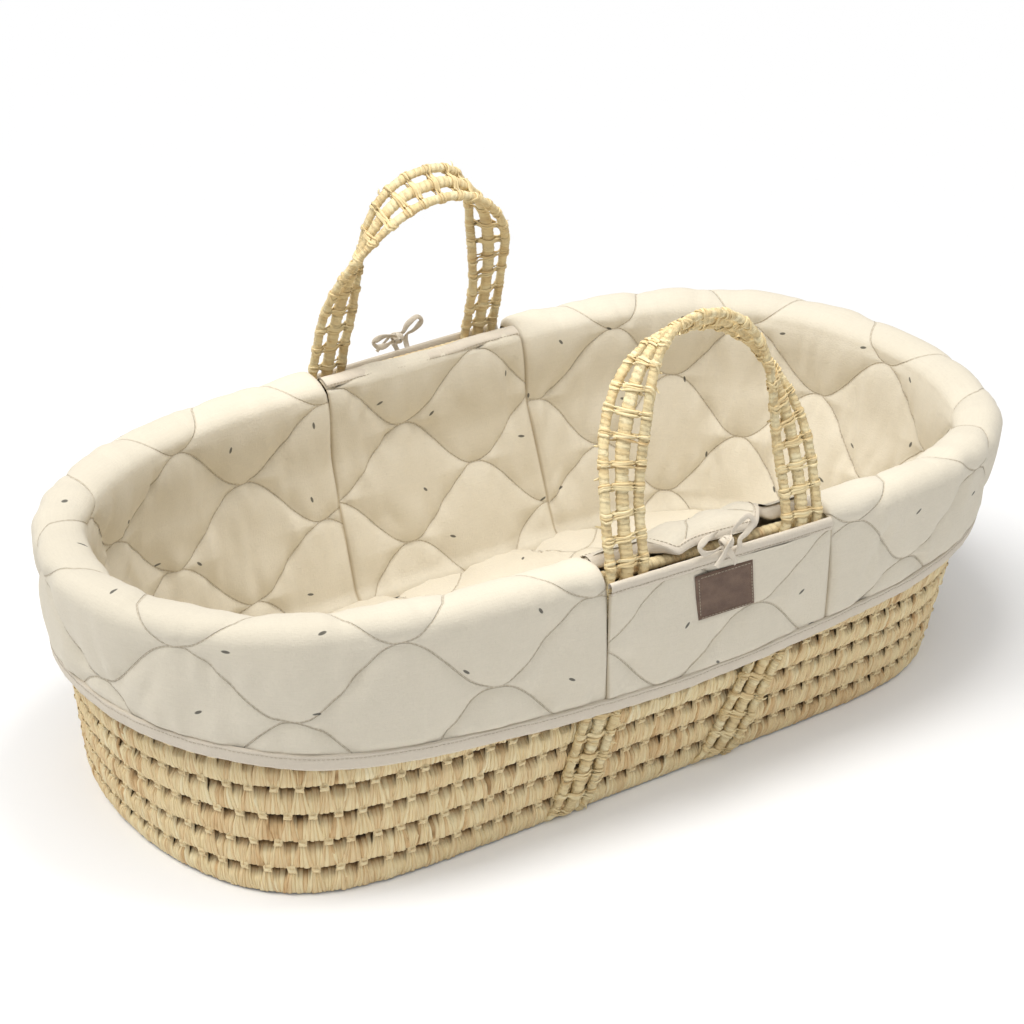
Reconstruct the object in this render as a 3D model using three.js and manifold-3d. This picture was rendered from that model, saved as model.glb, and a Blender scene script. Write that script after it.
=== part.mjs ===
// Moses basket: plaited palm rows, a wrapped rim, two carrying straps that run under the base
// and end in hinged handles, and a quilted cotton liner with an elasticated skirt.
// Units are millimetres, +Z is up, the origin is at the centre of the underside and
// +X points along the length towards the slightly wider end. "near" is -Y and "far" is +Y.
import * as THREE from 'three';
import { mergeVertices } from 'three/addons/utils/BufferGeometryUtils.js';
import Module from 'manifold-3d';

const { lerp, clamp, degToRad, smoothstep } = THREE.MathUtils;

// Driving dimensions of the palm wall. Each outline is |x/a|^p + |y/b|^q = 1.
const BASE = { a: 380, b: 190.4, p: 7.3, q: 1.9 };
const BASE_SHIFT = -16;         // the base's centre, along the length
const RIM = { a: 425, b: 222, p: 4.1, q: 2.0 };
const EGG = 0.092;              // how much wider the +X end is than the -X end, at the rim
const TOP_HEIGHT = 236;         // top of the liner roll at mid-length
const TOP_TILT = -8.6;          // change of that height towards the +X end
const TOP_CROWN = -6.3;         // change of that height towards both ends
const PALM_THICK = 10;
const ROW_COUNT = 9;
const ROW_GAP = 0.6;
const RING_STEPS = 60;          // facets around the basket
const FIT_GAP = 0.3;            // clearance between touching pieces

// Rim and liner.
const ROLL_RADIUS = 14;         // liner roll around the rim rope
const COIL_RADIUS = 5;          // wrapped palm rope along the rim
const COIL_SPACE = 6;           // inside radius of the liner roll
const INNER_QUILT = 6;
const SKIRT_INSIDE = 7.5;        // skirt's inner face, outwards from the palm wall
const SKIRT_OUTSIDE = 10.9;
const FLOOR_BOTTOM = 6;
const FLOOR_THICK = 7;
const QUILT_FLOOR = 6;

// Skirt hem: lowest near mid-length, rising towards both ends.
const HEM_LOW = 97;
const HEM_LOW_X = 10;
const HEM_RISE_LEFT = 33;
const HEM_RISE_RIGHT = 42;
const HEM_POWER = 1.3;
const HEM_TAPE = 13;            // height of the binding around the hem
const TAPE_THICK = 1;
const ELASTIC_HEIGHT = 5;

// Handle slots: the liner is split by a seam on each side of them.
const SEAM_TOP = [-90, 121];
const SEAM_LEAN = [20, 32];     // how far each seam moves to +X on its way down to the base
const SEAM_GAP = 0.6;
const FLAP_TOP_DROP = [12.5, 9]; // flap's top edge, below the top of the roll, at each seam
const FLAP_TAPE = 11;

// Carrying band: straps on the wall and under the base, then the handle arches.
const BAND_WIDTH = 38;
const STRAP_THICK = 5;
const STRAP_GAP = 0.8;          // the flat strap's clearance to the curved wall
const HANDLE_THICK = 7;
const LEG_X = [-68, 98];
const STRAP_HEM_X = [-78, 85];
const STRAP_BASE_X = [-101, 47];
const HINGE_OUT = 2.8;          // hinge axis, outwards from the palm wall
const HINGE_RISE = 10;          // hinge axis, above the centre of the rim rope
const HANDLE_REACH = 172;
const HANDLE_LEAN = degToRad(15);
const HANDLE_POWER = 2.4;
const HANDLE_TWIST = degToRad(115);
const HOLE_PITCH = 19;
const HOLE_LONG = 10;
const HOLE_WIDE = 8;
const TIE_DRAW = 0.6;
const HOLE_OFFSET = 8.5;        // each column of holes, from the middle of the band

const LABEL = { x: 22, z: 187, width: 55, height: 45, thick: 1.5, shear: -0.2 };

const wasm = await Module();
wasm.setup();

const materials = {
  palm: { color: 0xd9bf8a, roughness: 0.72, metalness: 0 },
  handle: { color: 0xdcc58f, roughness: 0.7, metalness: 0 },
  cotton: { color: 0xd8ccb4, roughness: 0.92, metalness: 0 },
  tape: { color: 0xcdc0a6, roughness: 0.9, metalness: 0 },
  elastic: { color: 0xeeeae0, roughness: 0.85, metalness: 0 },
  leather: { color: 0x7a5a48, roughness: 0.6, metalness: 0 },
};

const basket = new THREE.Group();

function addPart(name, geometry, material) {
  const mesh = new THREE.Mesh(geometry, new THREE.MeshStandardMaterial(materials[material]));
  mesh.name = name;
  basket.add(mesh);
  return mesh;
}

// ---- the wall surface -------------------------------------------------------------------

// Point of the outline |x/a|^p + |y/b|^q = 1 in the direction angle. egg widens the +X end.
function lamePoint({ a, b, p, q }, egg, angle) {
  const c = Math.abs(Math.cos(angle));
  const s = Math.abs(Math.sin(angle));
  let low = 1;
  let high = 1.5;
  for (let i = 0; i < 32; i += 1) {
    const reach = (low + high) / 2;
    const inside = (reach * c) ** p + (reach * s) ** q < 1;
    if (inside) low = reach;
    else high = reach;
  }
  const x = low * Math.cos(angle);
  return new THREE.Vector2(a * x, b * low * Math.sin(angle) * (1 + egg * x));
}

// Point of the palm wall's outer face in the direction angle, at a level from 0 to 1.
function outlinePoint(angle, level) {
  const foot = lamePoint(BASE, 0, angle).add(new THREE.Vector2(BASE_SHIFT, 0));
  return foot.lerp(lamePoint(RIM, EGG, angle), clamp(level, 0, 1));
}

// One outward direction for the whole height of the wall, so that its faces stay straight.
function outwardNormal(angle) {
  const step = 1e-3;
  const before = outlinePoint(angle - step, 0.5);
  const after = outlinePoint(angle + step, 0.5);
  return new THREE.Vector2(after.y - before.y, before.x - after.x).normalize();
}

// Height of the rim rope's centre, at a position along the length.
function coilHeightAt(x) {
  const u = x / RIM.a;
  return TOP_HEIGHT + TOP_TILT * u + TOP_CROWN * u * u - ROLL_RADIUS;
}

function coilHeight(angle) {
  return coilHeightAt(outlinePoint(angle, 1).x);
}

// Point at a height, offset outwards from the palm wall's outer face.
function wallPoint(angle, z, out) {
  const level = z / coilHeight(angle);
  const point = outlinePoint(angle, level).addScaledVector(outwardNormal(angle), out);
  return new THREE.Vector3(point.x, point.y, z);
}

// Direction angle of the wall point at a position along the length; side is -1 near, 1 far.
function angleAt(x, z, side) {
  const level = z / coilHeightAt(x);
  let low = 0;
  let high = Math.PI;
  for (let i = 0; i < 32; i += 1) {
    const middle = (low + high) / 2;
    if (outlinePoint(middle, level).x > x) low = middle;
    else high = middle;
  }
  return side * low;
}

function hemHeight(angle) {
  const x = outlinePoint(angle, 1).x - HEM_LOW_X;
  const rise = x > 0 ? HEM_RISE_RIGHT : HEM_RISE_LEFT;
  return HEM_LOW + rise * (Math.abs(x) / RIM.a) ** HEM_POWER;
}

function seamX(index, z) {
  return SEAM_TOP[index] + SEAM_LEAN[index] * (1 - z / TOP_HEIGHT);
}

// ---- solids from rings of points --------------------------------------------------------

function bodyFrom(points, faces) {
  const geometry = new THREE.BufferGeometry();
  geometry.setAttribute('position', new THREE.Float32BufferAttribute(points.flatMap((v) => v.toArray()), 3));
  const volume = faces.reduce(
    (sum, [i, j, k]) => sum + points[i].dot(points[j].clone().cross(points[k])),
    0,
  );
  const outward = volume > 0 ? faces : faces.map(([i, j, k]) => [i, k, j]);
  geometry.setIndex(outward.flat());
  return geometry;
}

// Joins rings of equal length into one closed body. An open run is capped at both ends with
// the flat outline's triangles.
function joinRings(rings, closed, capOutline) {
  const size = rings[0].length;
  const faces = [];
  const spans = closed ? rings.length : rings.length - 1;
  for (let i = 0; i < spans; i += 1) {
    const here = i * size;
    const there = ((i + 1) % rings.length) * size;
    for (let j = 0; j < size; j += 1) {
      const next = (j + 1) % size;
      faces.push([here + j, there + j, there + next], [here + j, there + next, here + next]);
    }
  }
  if (!closed) {
    const last = (rings.length - 1) * size;
    const clockwise = THREE.ShapeUtils.isClockWise(capOutline);
    for (const [i, j, k] of THREE.ShapeUtils.triangulateShape(capOutline, [])) {
      const [second, third] = clockwise ? [k, j] : [j, k];
      faces.push([i, second, third], [last + i, last + third, last + second]);
    }
  }
  return bodyFrom(rings.flat(), faces);
}

// Sweeps a section of [out, z] points around the whole basket.
function ringBody(section) {
  const rings = [];
  for (let i = 0; i < RING_STEPS; i += 1) {
    const angle = (i / RING_STEPS) * 2 * Math.PI;
    rings.push(section(angle).map(([out, z]) => wallPoint(angle, z, out)));
  }
  return joinRings(rings, true);
}

// Sweeps a section along stations. angleOf(station, z) gives the direction of each point.
function stationBody(stations, section, angleOf) {
  const rings = stations.map((station) => (
    section(station).map(([out, z]) => wallPoint(angleOf(station, z), z, out))
  ));
  const capOutline = section(stations[0]).map(([out, z]) => new THREE.Vector2(out, z));
  return joinRings(rings, false, capOutline);
}

function evenSteps(from, to, count) {
  return Array.from({ length: count + 1 }, (_, i) => lerp(from, to, i / count));
}

function toManifold(geometry) {
  const bare = geometry.clone();
  bare.deleteAttribute('normal');
  bare.deleteAttribute('uv');
  const merged = mergeVertices(bare);
  return new wasm.Manifold(new wasm.Mesh({
    numProp: 3,
    vertProperties: new Float32Array(merged.attributes.position.array),
    triVerts: new Uint32Array(merged.index.array),
  }));
}

function fromManifold(solid) {
  const mesh = solid.getMesh();
  const geometry = new THREE.BufferGeometry();
  geometry.setAttribute('position', new THREE.BufferAttribute(mesh.vertProperties, 3));
  geometry.setIndex(new THREE.BufferAttribute(mesh.triVerts, 1));
  return geometry;
}

// ---- palm wall, rim and floor -----------------------------------------------------------

function rowBody(index) {
  return ringBody((angle) => {
    const pitch = (coilHeight(angle) - COIL_RADIUS) / ROW_COUNT;
    const bottom = index === 0 ? 0 : pitch * index + ROW_GAP / 2;
    const top = pitch * (index + 1) - ROW_GAP / 2;
    return [[-PALM_THICK, bottom], [0, bottom], [0, top], [-PALM_THICK, top]];
  });
}

// The bottom row is notched where the two straps pass under it.
function bottomRowBody() {
  let row = toManifold(rowBody(0));
  const notchWidth = BAND_WIDTH + 5;
  const notchTop = STRAP_THICK + FIT_GAP;
  for (const x of STRAP_BASE_X) {
    const tunnel = new THREE.BoxGeometry(notchWidth, 3 * RIM.b, 2 * notchTop);
    tunnel.translate(x, 0, 0);
    row = row.subtract(toManifold(tunnel));
  }
  return fromManifold(row);
}

function rimCoilBody() {
  const sides = 6;
  return ringBody((angle) => {
    const centre = coilHeight(angle);
    return Array.from({ length: sides }, (_, i) => {
      const turn = (i / sides) * 2 * Math.PI;
      return [-PALM_THICK / 2 + COIL_RADIUS * Math.cos(turn), centre + COIL_RADIUS * Math.sin(turn)];
    });
  });
}

// A flat slab that fills the basket's inside outline, set in from the palm's outer face.
function slabBody(bottom, thick, inset) {
  const outline = [];
  for (let i = 0; i < RING_STEPS; i += 1) {
    const point = wallPoint((i / RING_STEPS) * 2 * Math.PI, bottom, -inset);
    outline.push(new THREE.Vector2(point.x, point.y));
  }
  const slab = new THREE.ExtrudeGeometry(new THREE.Shape(outline), { depth: thick, bevelEnabled: false });
  slab.translate(0, 0, bottom);
  return slab;
}

// ---- carrying straps --------------------------------------------------------------------

function strapX(index, z) {
  const hem = HEM_LOW;
  if (z > hem) return lerp(STRAP_HEM_X[index], LEG_X[index], (z - hem) / (TOP_HEIGHT - hem));
  return lerp(STRAP_BASE_X[index], STRAP_HEM_X[index], z / hem);
}

// Centre of the strap on one wall, the direction out of the wall and the one along it.
function strapStation(index, side, z, out) {
  const angle = angleAt(strapX(index, z), z, side);
  const normal = outwardNormal(angle);
  return {
    centre: wallPoint(angle, z, out),
    across: new THREE.Vector3(normal.x, normal.y, 0),
    along: new THREE.Vector3(side * normal.y, -side * normal.x, 0),
  };
}

function strapBody(index) {
  const half = STRAP_THICK / 2;
  const top = hingeHeight(LEG_X[index]) - HANDLE_THICK / 2 - 2 * FIT_GAP;
  const heights = [top, ...evenSteps(coilHeightAt(LEG_X[index]), 2 * STRAP_THICK, 6)];
  const onWall = (side) => heights.map((z) => strapStation(index, side, z, half + STRAP_GAP));
  const corner = (side) => {
    const mitre = strapStation(index, side, STRAP_THICK, half + STRAP_GAP);
    mitre.centre.z = half;
    mitre.across.z = -1;
    const under = strapStation(index, side, 0, -STRAP_THICK);
    under.centre.z = half;
    under.across.set(0, 0, -1);
    return [mitre, under];
  };
  const loop = [
    ...onWall(-1),
    ...corner(-1),
    ...corner(1).reverse(),
    ...onWall(1).reverse(),
  ];
  const rings = loop.map(({ centre, across, along }) => (
    [[-1, -1], [1, -1], [1, 1], [-1, 1]].map(([i, j]) => (
      centre.clone()
        .addScaledVector(along, (i * BAND_WIDTH) / 2)
        .addScaledVector(across, j * half)
    ))
  ));
  const square = [[-1, -1], [1, -1], [1, 1], [-1, 1]].map(([i, j]) => new THREE.Vector2(i, j));
  return joinRings(rings, false, square);
}

// ---- handles ----------------------------------------------------------------------------

function hingeHeight(x) {
  return coilHeightAt(x) + HINGE_RISE;
}

// Foot of a handle leg, on the hinge axis.
function legFoot(index, side) {
  const z = hingeHeight(LEG_X[index]);
  return wallPoint(angleAt(LEG_X[index], z, side), z, HINGE_OUT);
}

// The arch's own frame: along runs from leg to leg, up lies in the leaning arch's plane.
function handleFrame(side) {
  const left = legFoot(0, side);
  const right = legFoot(1, side);
  const along = right.clone().sub(left).normalize();
  const outward = new THREE.Vector3(0, side, 0);
  outward.addScaledVector(along, -outward.dot(along)).normalize();
  const upright = new THREE.Vector3(0, 0, 1);
  upright.addScaledVector(along, -upright.dot(along)).normalize();
  const up = upright.clone().multiplyScalar(Math.cos(HANDLE_LEAN));
  up.addScaledVector(outward, -Math.sin(HANDLE_LEAN));
  const out = outward.clone().multiplyScalar(Math.cos(HANDLE_LEAN));
  out.addScaledVector(upright, Math.sin(HANDLE_LEAN));
  const half = left.distanceTo(right) / 2;
  return { centre: left.add(right).multiplyScalar(0.5), along, up, out, half };
}

// The arch's centre line as a fine polyline in its own plane, with its running length.
function archLine(half) {
  const steps = 240;
  const points = evenSteps(Math.PI, 0, steps).map((turn) => {
    const c = Math.cos(turn);
    const power = 2 / HANDLE_POWER;
    return new THREE.Vector2(
      half * Math.sign(c) * Math.abs(c) ** power,
      HANDLE_REACH * Math.abs(Math.sin(turn)) ** power,
    );
  });
  const lengths = [0];
  for (let i = 1; i <= steps; i += 1) {
    lengths.push(lengths[i - 1] + points[i].distanceTo(points[i - 1]));
  }
  return { points, lengths, total: lengths[steps] };
}

// One flat cell of the band between two cross ties, with a hole on each side of its middle
// cord. Its edges draw in a little at the ties.
function cellGeometry(from, to) {
  const edge = BAND_WIDTH / 2;
  const middle = (from + to) / 2;
  const shape = new THREE.Shape();
  shape.setFromPoints([
    new THREE.Vector2(from, TIE_DRAW - edge),
    new THREE.Vector2(middle, -edge),
    new THREE.Vector2(to, TIE_DRAW - edge),
    new THREE.Vector2(to, edge - TIE_DRAW),
    new THREE.Vector2(middle, edge),
    new THREE.Vector2(from, edge - TIE_DRAW),
  ]);
  for (const column of [-HOLE_OFFSET, HOLE_OFFSET]) {
    const hole = new THREE.Path();
    hole.setFromPoints([
      new THREE.Vector2(middle - HOLE_LONG / 2, column),
      new THREE.Vector2(middle, column + HOLE_WIDE / 2),
      new THREE.Vector2(middle + HOLE_LONG / 2, column),
      new THREE.Vector2(middle, column - HOLE_WIDE / 2),
    ]);
    shape.holes.push(hole);
  }
  const cell = new THREE.ExtrudeGeometry(shape, { depth: HANDLE_THICK, bevelEnabled: false });
  return cell.translate(0, 0, -HANDLE_THICK / 2);
}

// Place of a point of the flat band once it is bent: its legs lie flat along the wall and its
// middle is turned across.
function bentPlace(frame, line, flat) {
  const { centre, along, up, out } = frame;
  const last = line.points.length - 1;
  const run = clamp(flat.x, 0, line.total);
  const k = Math.max(line.lengths.findIndex((length) => length >= run), 1);
  const share = (run - line.lengths[k - 1]) / (line.lengths[k] - line.lengths[k - 1]);
  const here = line.points[k - 1].clone().lerp(line.points[k], share);
  const heading = line.points[Math.min(k + 2, last)].clone()
    .sub(line.points[Math.max(k - 3, 0)])
    .normalize();
  const tangent = along.clone().multiplyScalar(heading.x).addScaledVector(up, heading.y);
  const inward = along.clone().multiplyScalar(heading.y).addScaledVector(up, -heading.x);
  const toApex = 1 - Math.abs(flat.x / line.total - 0.5) * 2;
  const twist = HANDLE_TWIST * smoothstep(toApex, 0.2, 1);
  const width = inward.multiplyScalar(Math.cos(twist)).addScaledVector(out, Math.sin(twist));
  const face = tangent.cross(width).normalize();
  return centre.clone()
    .addScaledVector(along, here.x)
    .addScaledVector(up, here.y)
    .addScaledVector(width, flat.y)
    .addScaledVector(face, flat.z);
}

// The cells in a row, left open where they meet, then bent into the arch.
function handleBody(side) {
  const frame = handleFrame(side);
  const line = archLine(frame.half);
  const ties = evenSteps(0, line.total, Math.round(line.total / HOLE_PITCH));
  const corners = [];
  ties.slice(1).forEach((to, i) => {
    const flat = cellGeometry(ties[i], to).attributes.position;
    const innerTies = [ties[i], to].filter((x) => x > 0 && x < line.total);
    for (let j = 0; j < flat.count; j += 3) {
      const triangle = [j, j + 1, j + 2].map((k) => new THREE.Vector3().fromBufferAttribute(flat, k));
      const onTie = innerTies.some((tie) => triangle.every(({ x }) => Math.abs(x - tie) < 1e-3));
      if (!onTie) corners.push(...triangle.map((point) => bentPlace(frame, line, point)));
    }
  });
  return mergeVertices(new THREE.BufferGeometry().setFromPoints(corners), 1e-3);
}

// ---- liner ------------------------------------------------------------------------------

// Points of an arc about the rim rope's centre; 0 degrees is straight out, 90 is up.
function rollArc(centre, radius, fromDeg, toDeg, steps) {
  return evenSteps(fromDeg, toDeg, steps).map((deg) => {
    const turn = degToRad(deg);
    return [-PALM_THICK / 2 + radius * Math.cos(turn), centre + radius * Math.sin(turn)];
  });
}

// One face of the liner against the wall, in a few levels, so that it follows the wall's twist.
function wallFace(out, from, to) {
  const levels = 5;
  return evenSteps(from, to, levels).map((z) => [out, z]);
}

const INSIDE_FACE = -PALM_THICK - 0.9;
const LINER_BOTTOM = FLOOR_BOTTOM + FLOOR_THICK + QUILT_FLOOR + 2 * FIT_GAP;

// End liner: up the inside, over the rim and down the outside to the hem.
function endLinerBody(end) {
  const index = end < 0 ? 0 : 1;
  const seamAngle = angleAt(SEAM_TOP[index], TOP_HEIGHT, 1);
  const [from, to] = end < 0 ? [seamAngle, 2 * Math.PI - seamAngle] : [-seamAngle, seamAngle];
  const step = (2 * Math.PI) / RING_STEPS;
  const stations = [{ seam: -end }];
  for (let i = Math.ceil(from / step + 0.5); i < to / step - 0.5; i += 1) {
    stations.push({ angle: i * step });
  }
  stations.push({ seam: end });
  const angleOf = (station, z) => {
    if (station.seam === undefined) return station.angle;
    const angle = angleAt(seamX(index, z) + (end * SEAM_GAP) / 2, z, station.seam);
    return angle < from - step ? angle + 2 * Math.PI : angle;
  };
  const section = (station) => {
    const centre = coilHeight(angleOf(station, TOP_HEIGHT));
    const edge = hemHeight(angleOf(station, HEM_LOW)) + HEM_TAPE / 2;
    return [
      [SKIRT_OUTSIDE, edge],
      ...rollArc(centre, ROLL_RADIUS, 0, 180, 6),
      ...wallFace(INSIDE_FACE - INNER_QUILT, centre - ROLL_RADIUS, LINER_BOTTOM),
      ...wallFace(INSIDE_FACE, LINER_BOTTOM, centre - COIL_SPACE),
      ...rollArc(centre, COIL_SPACE, 165, 0, 5),
      [SKIRT_INSIDE, centre - COIL_SPACE],
      [SKIRT_INSIDE, edge],
    ];
  };
  return stationBody(stations, section, angleOf);
}

// How far over the rim the inner panel reaches, in degrees: it stops at the handle's legs
// on the cavity side and laps over the rope between them on the near side.
function lapAngle(x, side) {
  const atLegs = 120;
  const between = side < 0 ? 80 : 126;
  const clearLeft = LEG_X[0] + BAND_WIDTH / 2 + 5;
  const clearRight = LEG_X[1] - BAND_WIDTH / 2 - 5;
  const blend = 24;
  const lap = smoothstep(x, clearLeft, clearLeft + blend) * (1 - smoothstep(x, clearRight - blend, clearRight));
  return lerp(atLegs, between, lap);
}

const LAP_TAPE = 18;            // degrees of the roll that the binding tape covers
const PANEL_STEPS = 28;

// Stations across a handle slot: v runs from the left seam to the right seam.
function slotStations() {
  return evenSteps(0, 1, PANEL_STEPS).map((v) => ({ v }));
}

function slotX(v, z) {
  return lerp(seamX(0, z) + SEAM_GAP / 2, seamX(1, z) - SEAM_GAP / 2, v);
}

// Sweeps a section across a handle slot. The section is given the station's place at the rim
// and its direction angle at the hem.
function slotBody(side, section) {
  const angleOf = (station, z) => angleAt(slotX(station.v, z), z, side);
  const sectionOf = (station) => section(slotX(station.v, TOP_HEIGHT), angleOf(station, HEM_LOW));
  return stationBody(slotStations(), sectionOf, angleOf);
}

function innerPanelBody(side) {
  return slotBody(side, (x) => {
    const centre = coilHeightAt(x);
    const end = lapAngle(x, side);
    return [
      [INSIDE_FACE - INNER_QUILT, LINER_BOTTOM],
      [INSIDE_FACE, LINER_BOTTOM],
      [INSIDE_FACE, centre - COIL_SPACE],
      ...rollArc(centre, COIL_SPACE, 165, end, 3),
      ...rollArc(centre, ROLL_RADIUS, end, 180, 3),
    ];
  });
}

function innerTapeBody(side) {
  const tapeGap = 8;
  return slotBody(side, (x) => {
    const centre = coilHeightAt(x);
    const end = lapAngle(x, side) - tapeGap;
    return [
      ...rollArc(centre, COIL_SPACE, end, end - LAP_TAPE, 1),
      ...rollArc(centre, ROLL_RADIUS, end - LAP_TAPE, end, 1),
    ];
  });
}

function flapTop(x) {
  const share = (x - SEAM_TOP[0]) / (SEAM_TOP[1] - SEAM_TOP[0]);
  return coilHeightAt(x) + ROLL_RADIUS - lerp(...FLAP_TOP_DROP, share);
}

function flapSection(bottom, top) {
  return [[SKIRT_INSIDE, bottom], [SKIRT_OUTSIDE, bottom], [SKIRT_OUTSIDE, top], [SKIRT_INSIDE, top]];
}

function flapBody(side) {
  return slotBody(side, (x, hemAngle) => (
    flapSection(hemHeight(hemAngle) + HEM_TAPE / 2, flapTop(x) - FLAP_TAPE - FIT_GAP)
  ));
}

function flapTapeBody(side) {
  return slotBody(side, (x) => flapSection(flapTop(x) - FLAP_TAPE, flapTop(x)));
}

// Hem binding: a folded tape, open at the top, that holds the elastic and the skirt's edge.
function hemBindingBody() {
  return ringBody((angle) => {
    const bottom = hemHeight(angle);
    const top = bottom + HEM_TAPE;
    const insideFace = SKIRT_INSIDE - FIT_GAP;
    const outsideFace = SKIRT_OUTSIDE + FIT_GAP;
    return [
      [insideFace - TAPE_THICK, bottom],
      [outsideFace + TAPE_THICK, bottom],
      [outsideFace + TAPE_THICK, top],
      [outsideFace, top],
      [outsideFace, bottom + TAPE_THICK],
      [insideFace, bottom + TAPE_THICK],
      [insideFace, top],
      [insideFace - TAPE_THICK, top],
    ];
  });
}

function hemElasticBody() {
  return ringBody((angle) => {
    const bottom = hemHeight(angle) + TAPE_THICK + FIT_GAP;
    return flapSection(bottom, bottom + ELASTIC_HEIGHT - 2 * FIT_GAP);
  });
}

// ---- label and ties ---------------------------------------------------------------------

function labelBody() {
  const { x, z, width, height, thick, shear } = LABEL;
  const inside = SKIRT_OUTSIDE + FIT_GAP;
  const heights = evenSteps(z - height / 2, z + height / 2, 1);
  const section = () => [
    [inside, heights[0]],
    [inside + thick, heights[0]],
    [inside + thick, heights[1]],
    [inside, heights[1]],
  ];
  const angleOf = (station, level) => (
    angleAt(x + (station.v - 0.5) * width + shear * (level - z), level, -1)
  );
  return stationBody(evenSteps(0, 1, 3).map((v) => ({ v })), section, angleOf);
}

const TIE_RADIUS = 1.6;

// Each slot is closed by a bow of two ribbons. Their routes are [along, out, up] from the knot.
const TIE_ROUTES = {
  inner: [
    [-4, -8, 7], [-5, -4, 9], [-10, -1, 10], [-18, 1, 10], [-25, 3, 6], [-21, 4, 0], [-12, 4, -1],
    [-4, 5, 1], [1, 10, -5], [5, 11, -13],
  ],
  outer: [
    [11, 4, -9], [11, 7, -2], [12, 6, 4], [19, 5, 7], [26, 4, 14], [21, 3, 20], [11, 3, 15],
    [5, 3, 8], [-1, 9, 6], [-9, 12, -2], [-16, 13, -9],
  ],
};

function tieBody(side, route) {
  const x = (LEG_X[0] + LEG_X[1]) / 2;
  const z = flapTop(x) + 6;
  const angle = angleAt(x, z, side);
  const normal = outwardNormal(angle);
  const out = new THREE.Vector3(normal.x, normal.y, 0);
  const knot = wallPoint(angle, z, SKIRT_OUTSIDE);
  const points = TIE_ROUTES[route].map(([along, away, up]) => (
    knot.clone().add(new THREE.Vector3(along, 0, up)).addScaledVector(out, away)
  ));
  const section = new THREE.Shape();
  section.absarc(0, 0, TIE_RADIUS, 0, 2 * Math.PI);
  return new THREE.ExtrudeGeometry(section, {
    steps: 24,
    curveSegments: 3,
    extrudePath: new THREE.CatmullRomCurve3(points),
    bevelEnabled: false,
  });
}

// ---- assembly ---------------------------------------------------------------------------

addPart('floor_panel', slabBody(FLOOR_BOTTOM, FLOOR_THICK, PALM_THICK + FIT_GAP), 'palm');
addPart('wall_row_01', bottomRowBody(), 'palm');
for (let i = 1; i < ROW_COUNT; i += 1) {
  addPart(`wall_row_0${i + 1}`, rowBody(i), 'palm');
}
addPart('rim_rope', rimCoilBody(), 'palm');
addPart('strap_left', strapBody(0), 'handle');
addPart('strap_right', strapBody(1), 'handle');
addPart('handle_near', handleBody(-1), 'handle');
addPart('handle_far', handleBody(1), 'handle');

const quiltBottom = FLOOR_BOTTOM + FLOOR_THICK + FIT_GAP;
addPart('liner_base', slabBody(quiltBottom, QUILT_FLOOR, PALM_THICK + 1), 'cotton');
addPart('liner_left_end', endLinerBody(-1), 'cotton');
addPart('liner_right_end', endLinerBody(1), 'cotton');
addPart('hem_binding', hemBindingBody(), 'tape');
addPart('hem_elastic', hemElasticBody(), 'elastic');
for (const [name, side] of [['near', -1], ['far', 1]]) {
  addPart(`liner_${name}_inner`, innerPanelBody(side), 'cotton');
  addPart(`liner_${name}_flap`, flapBody(side), 'cotton');
  addPart(`binding_${name}_inner`, innerTapeBody(side), 'tape');
  addPart(`binding_${name}_flap`, flapTapeBody(side), 'tape');
  addPart(`tie_${name}_inner`, tieBody(side, 'inner'), 'tape');
  addPart(`tie_${name}_outer`, tieBody(side, 'outer'), 'tape');
}
addPart('label_patch', labelBody(), 'leather');

export default basket;
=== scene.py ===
"""Moses basket: the visual model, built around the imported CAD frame. Units are metres.

The palm wall, the liner and the bands are laid on the same wall surface as the CAD solids:
a point of it is given by a direction angle around the basket, a height and a distance
outwards from the palm's outer face.
"""

import math

import bpy
import numpy as np
from mathutils import Matrix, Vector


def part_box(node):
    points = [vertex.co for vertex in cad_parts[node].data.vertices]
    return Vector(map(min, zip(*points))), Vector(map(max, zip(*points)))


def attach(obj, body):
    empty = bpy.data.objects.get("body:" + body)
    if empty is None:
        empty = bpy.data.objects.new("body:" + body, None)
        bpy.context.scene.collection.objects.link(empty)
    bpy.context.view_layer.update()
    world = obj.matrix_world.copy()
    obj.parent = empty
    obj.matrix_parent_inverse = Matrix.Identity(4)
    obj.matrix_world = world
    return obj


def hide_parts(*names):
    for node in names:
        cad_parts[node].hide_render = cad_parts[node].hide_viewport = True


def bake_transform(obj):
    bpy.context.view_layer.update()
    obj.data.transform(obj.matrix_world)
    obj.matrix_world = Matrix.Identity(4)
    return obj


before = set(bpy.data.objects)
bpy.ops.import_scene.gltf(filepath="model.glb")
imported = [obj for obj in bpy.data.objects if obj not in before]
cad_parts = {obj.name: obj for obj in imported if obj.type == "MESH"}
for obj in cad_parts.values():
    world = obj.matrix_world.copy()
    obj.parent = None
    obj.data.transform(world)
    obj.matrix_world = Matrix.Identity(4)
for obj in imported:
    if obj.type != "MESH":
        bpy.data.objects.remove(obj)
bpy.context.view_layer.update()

MM = 0.001
TAU = 2 * math.pi

# ---- driving dimensions, as in the CAD ---------------------------------------------------

BASE_A, BASE_B, BASE_P, BASE_Q = 0.380, 0.1904, 7.3, 1.9
BASE_SHIFT = -0.016
RIM_A, RIM_B, RIM_P, RIM_Q = 0.425, 0.222, 4.1, 2.0
EGG = 0.092
TOP_HEIGHT = 0.236
TOP_TILT = -0.0086
TOP_CROWN = -0.0063
ROLL_RADIUS = 0.014
COIL_RADIUS = 0.005
PALM_THICK = 0.010
ROW_COUNT = 9
FLOOR_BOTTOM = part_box("floor_panel")[0].z
LINER_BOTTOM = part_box("liner_base")[1].z
SKIRT_OUTSIDE = 0.0109
INSIDE_FACE = -0.0169

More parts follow.
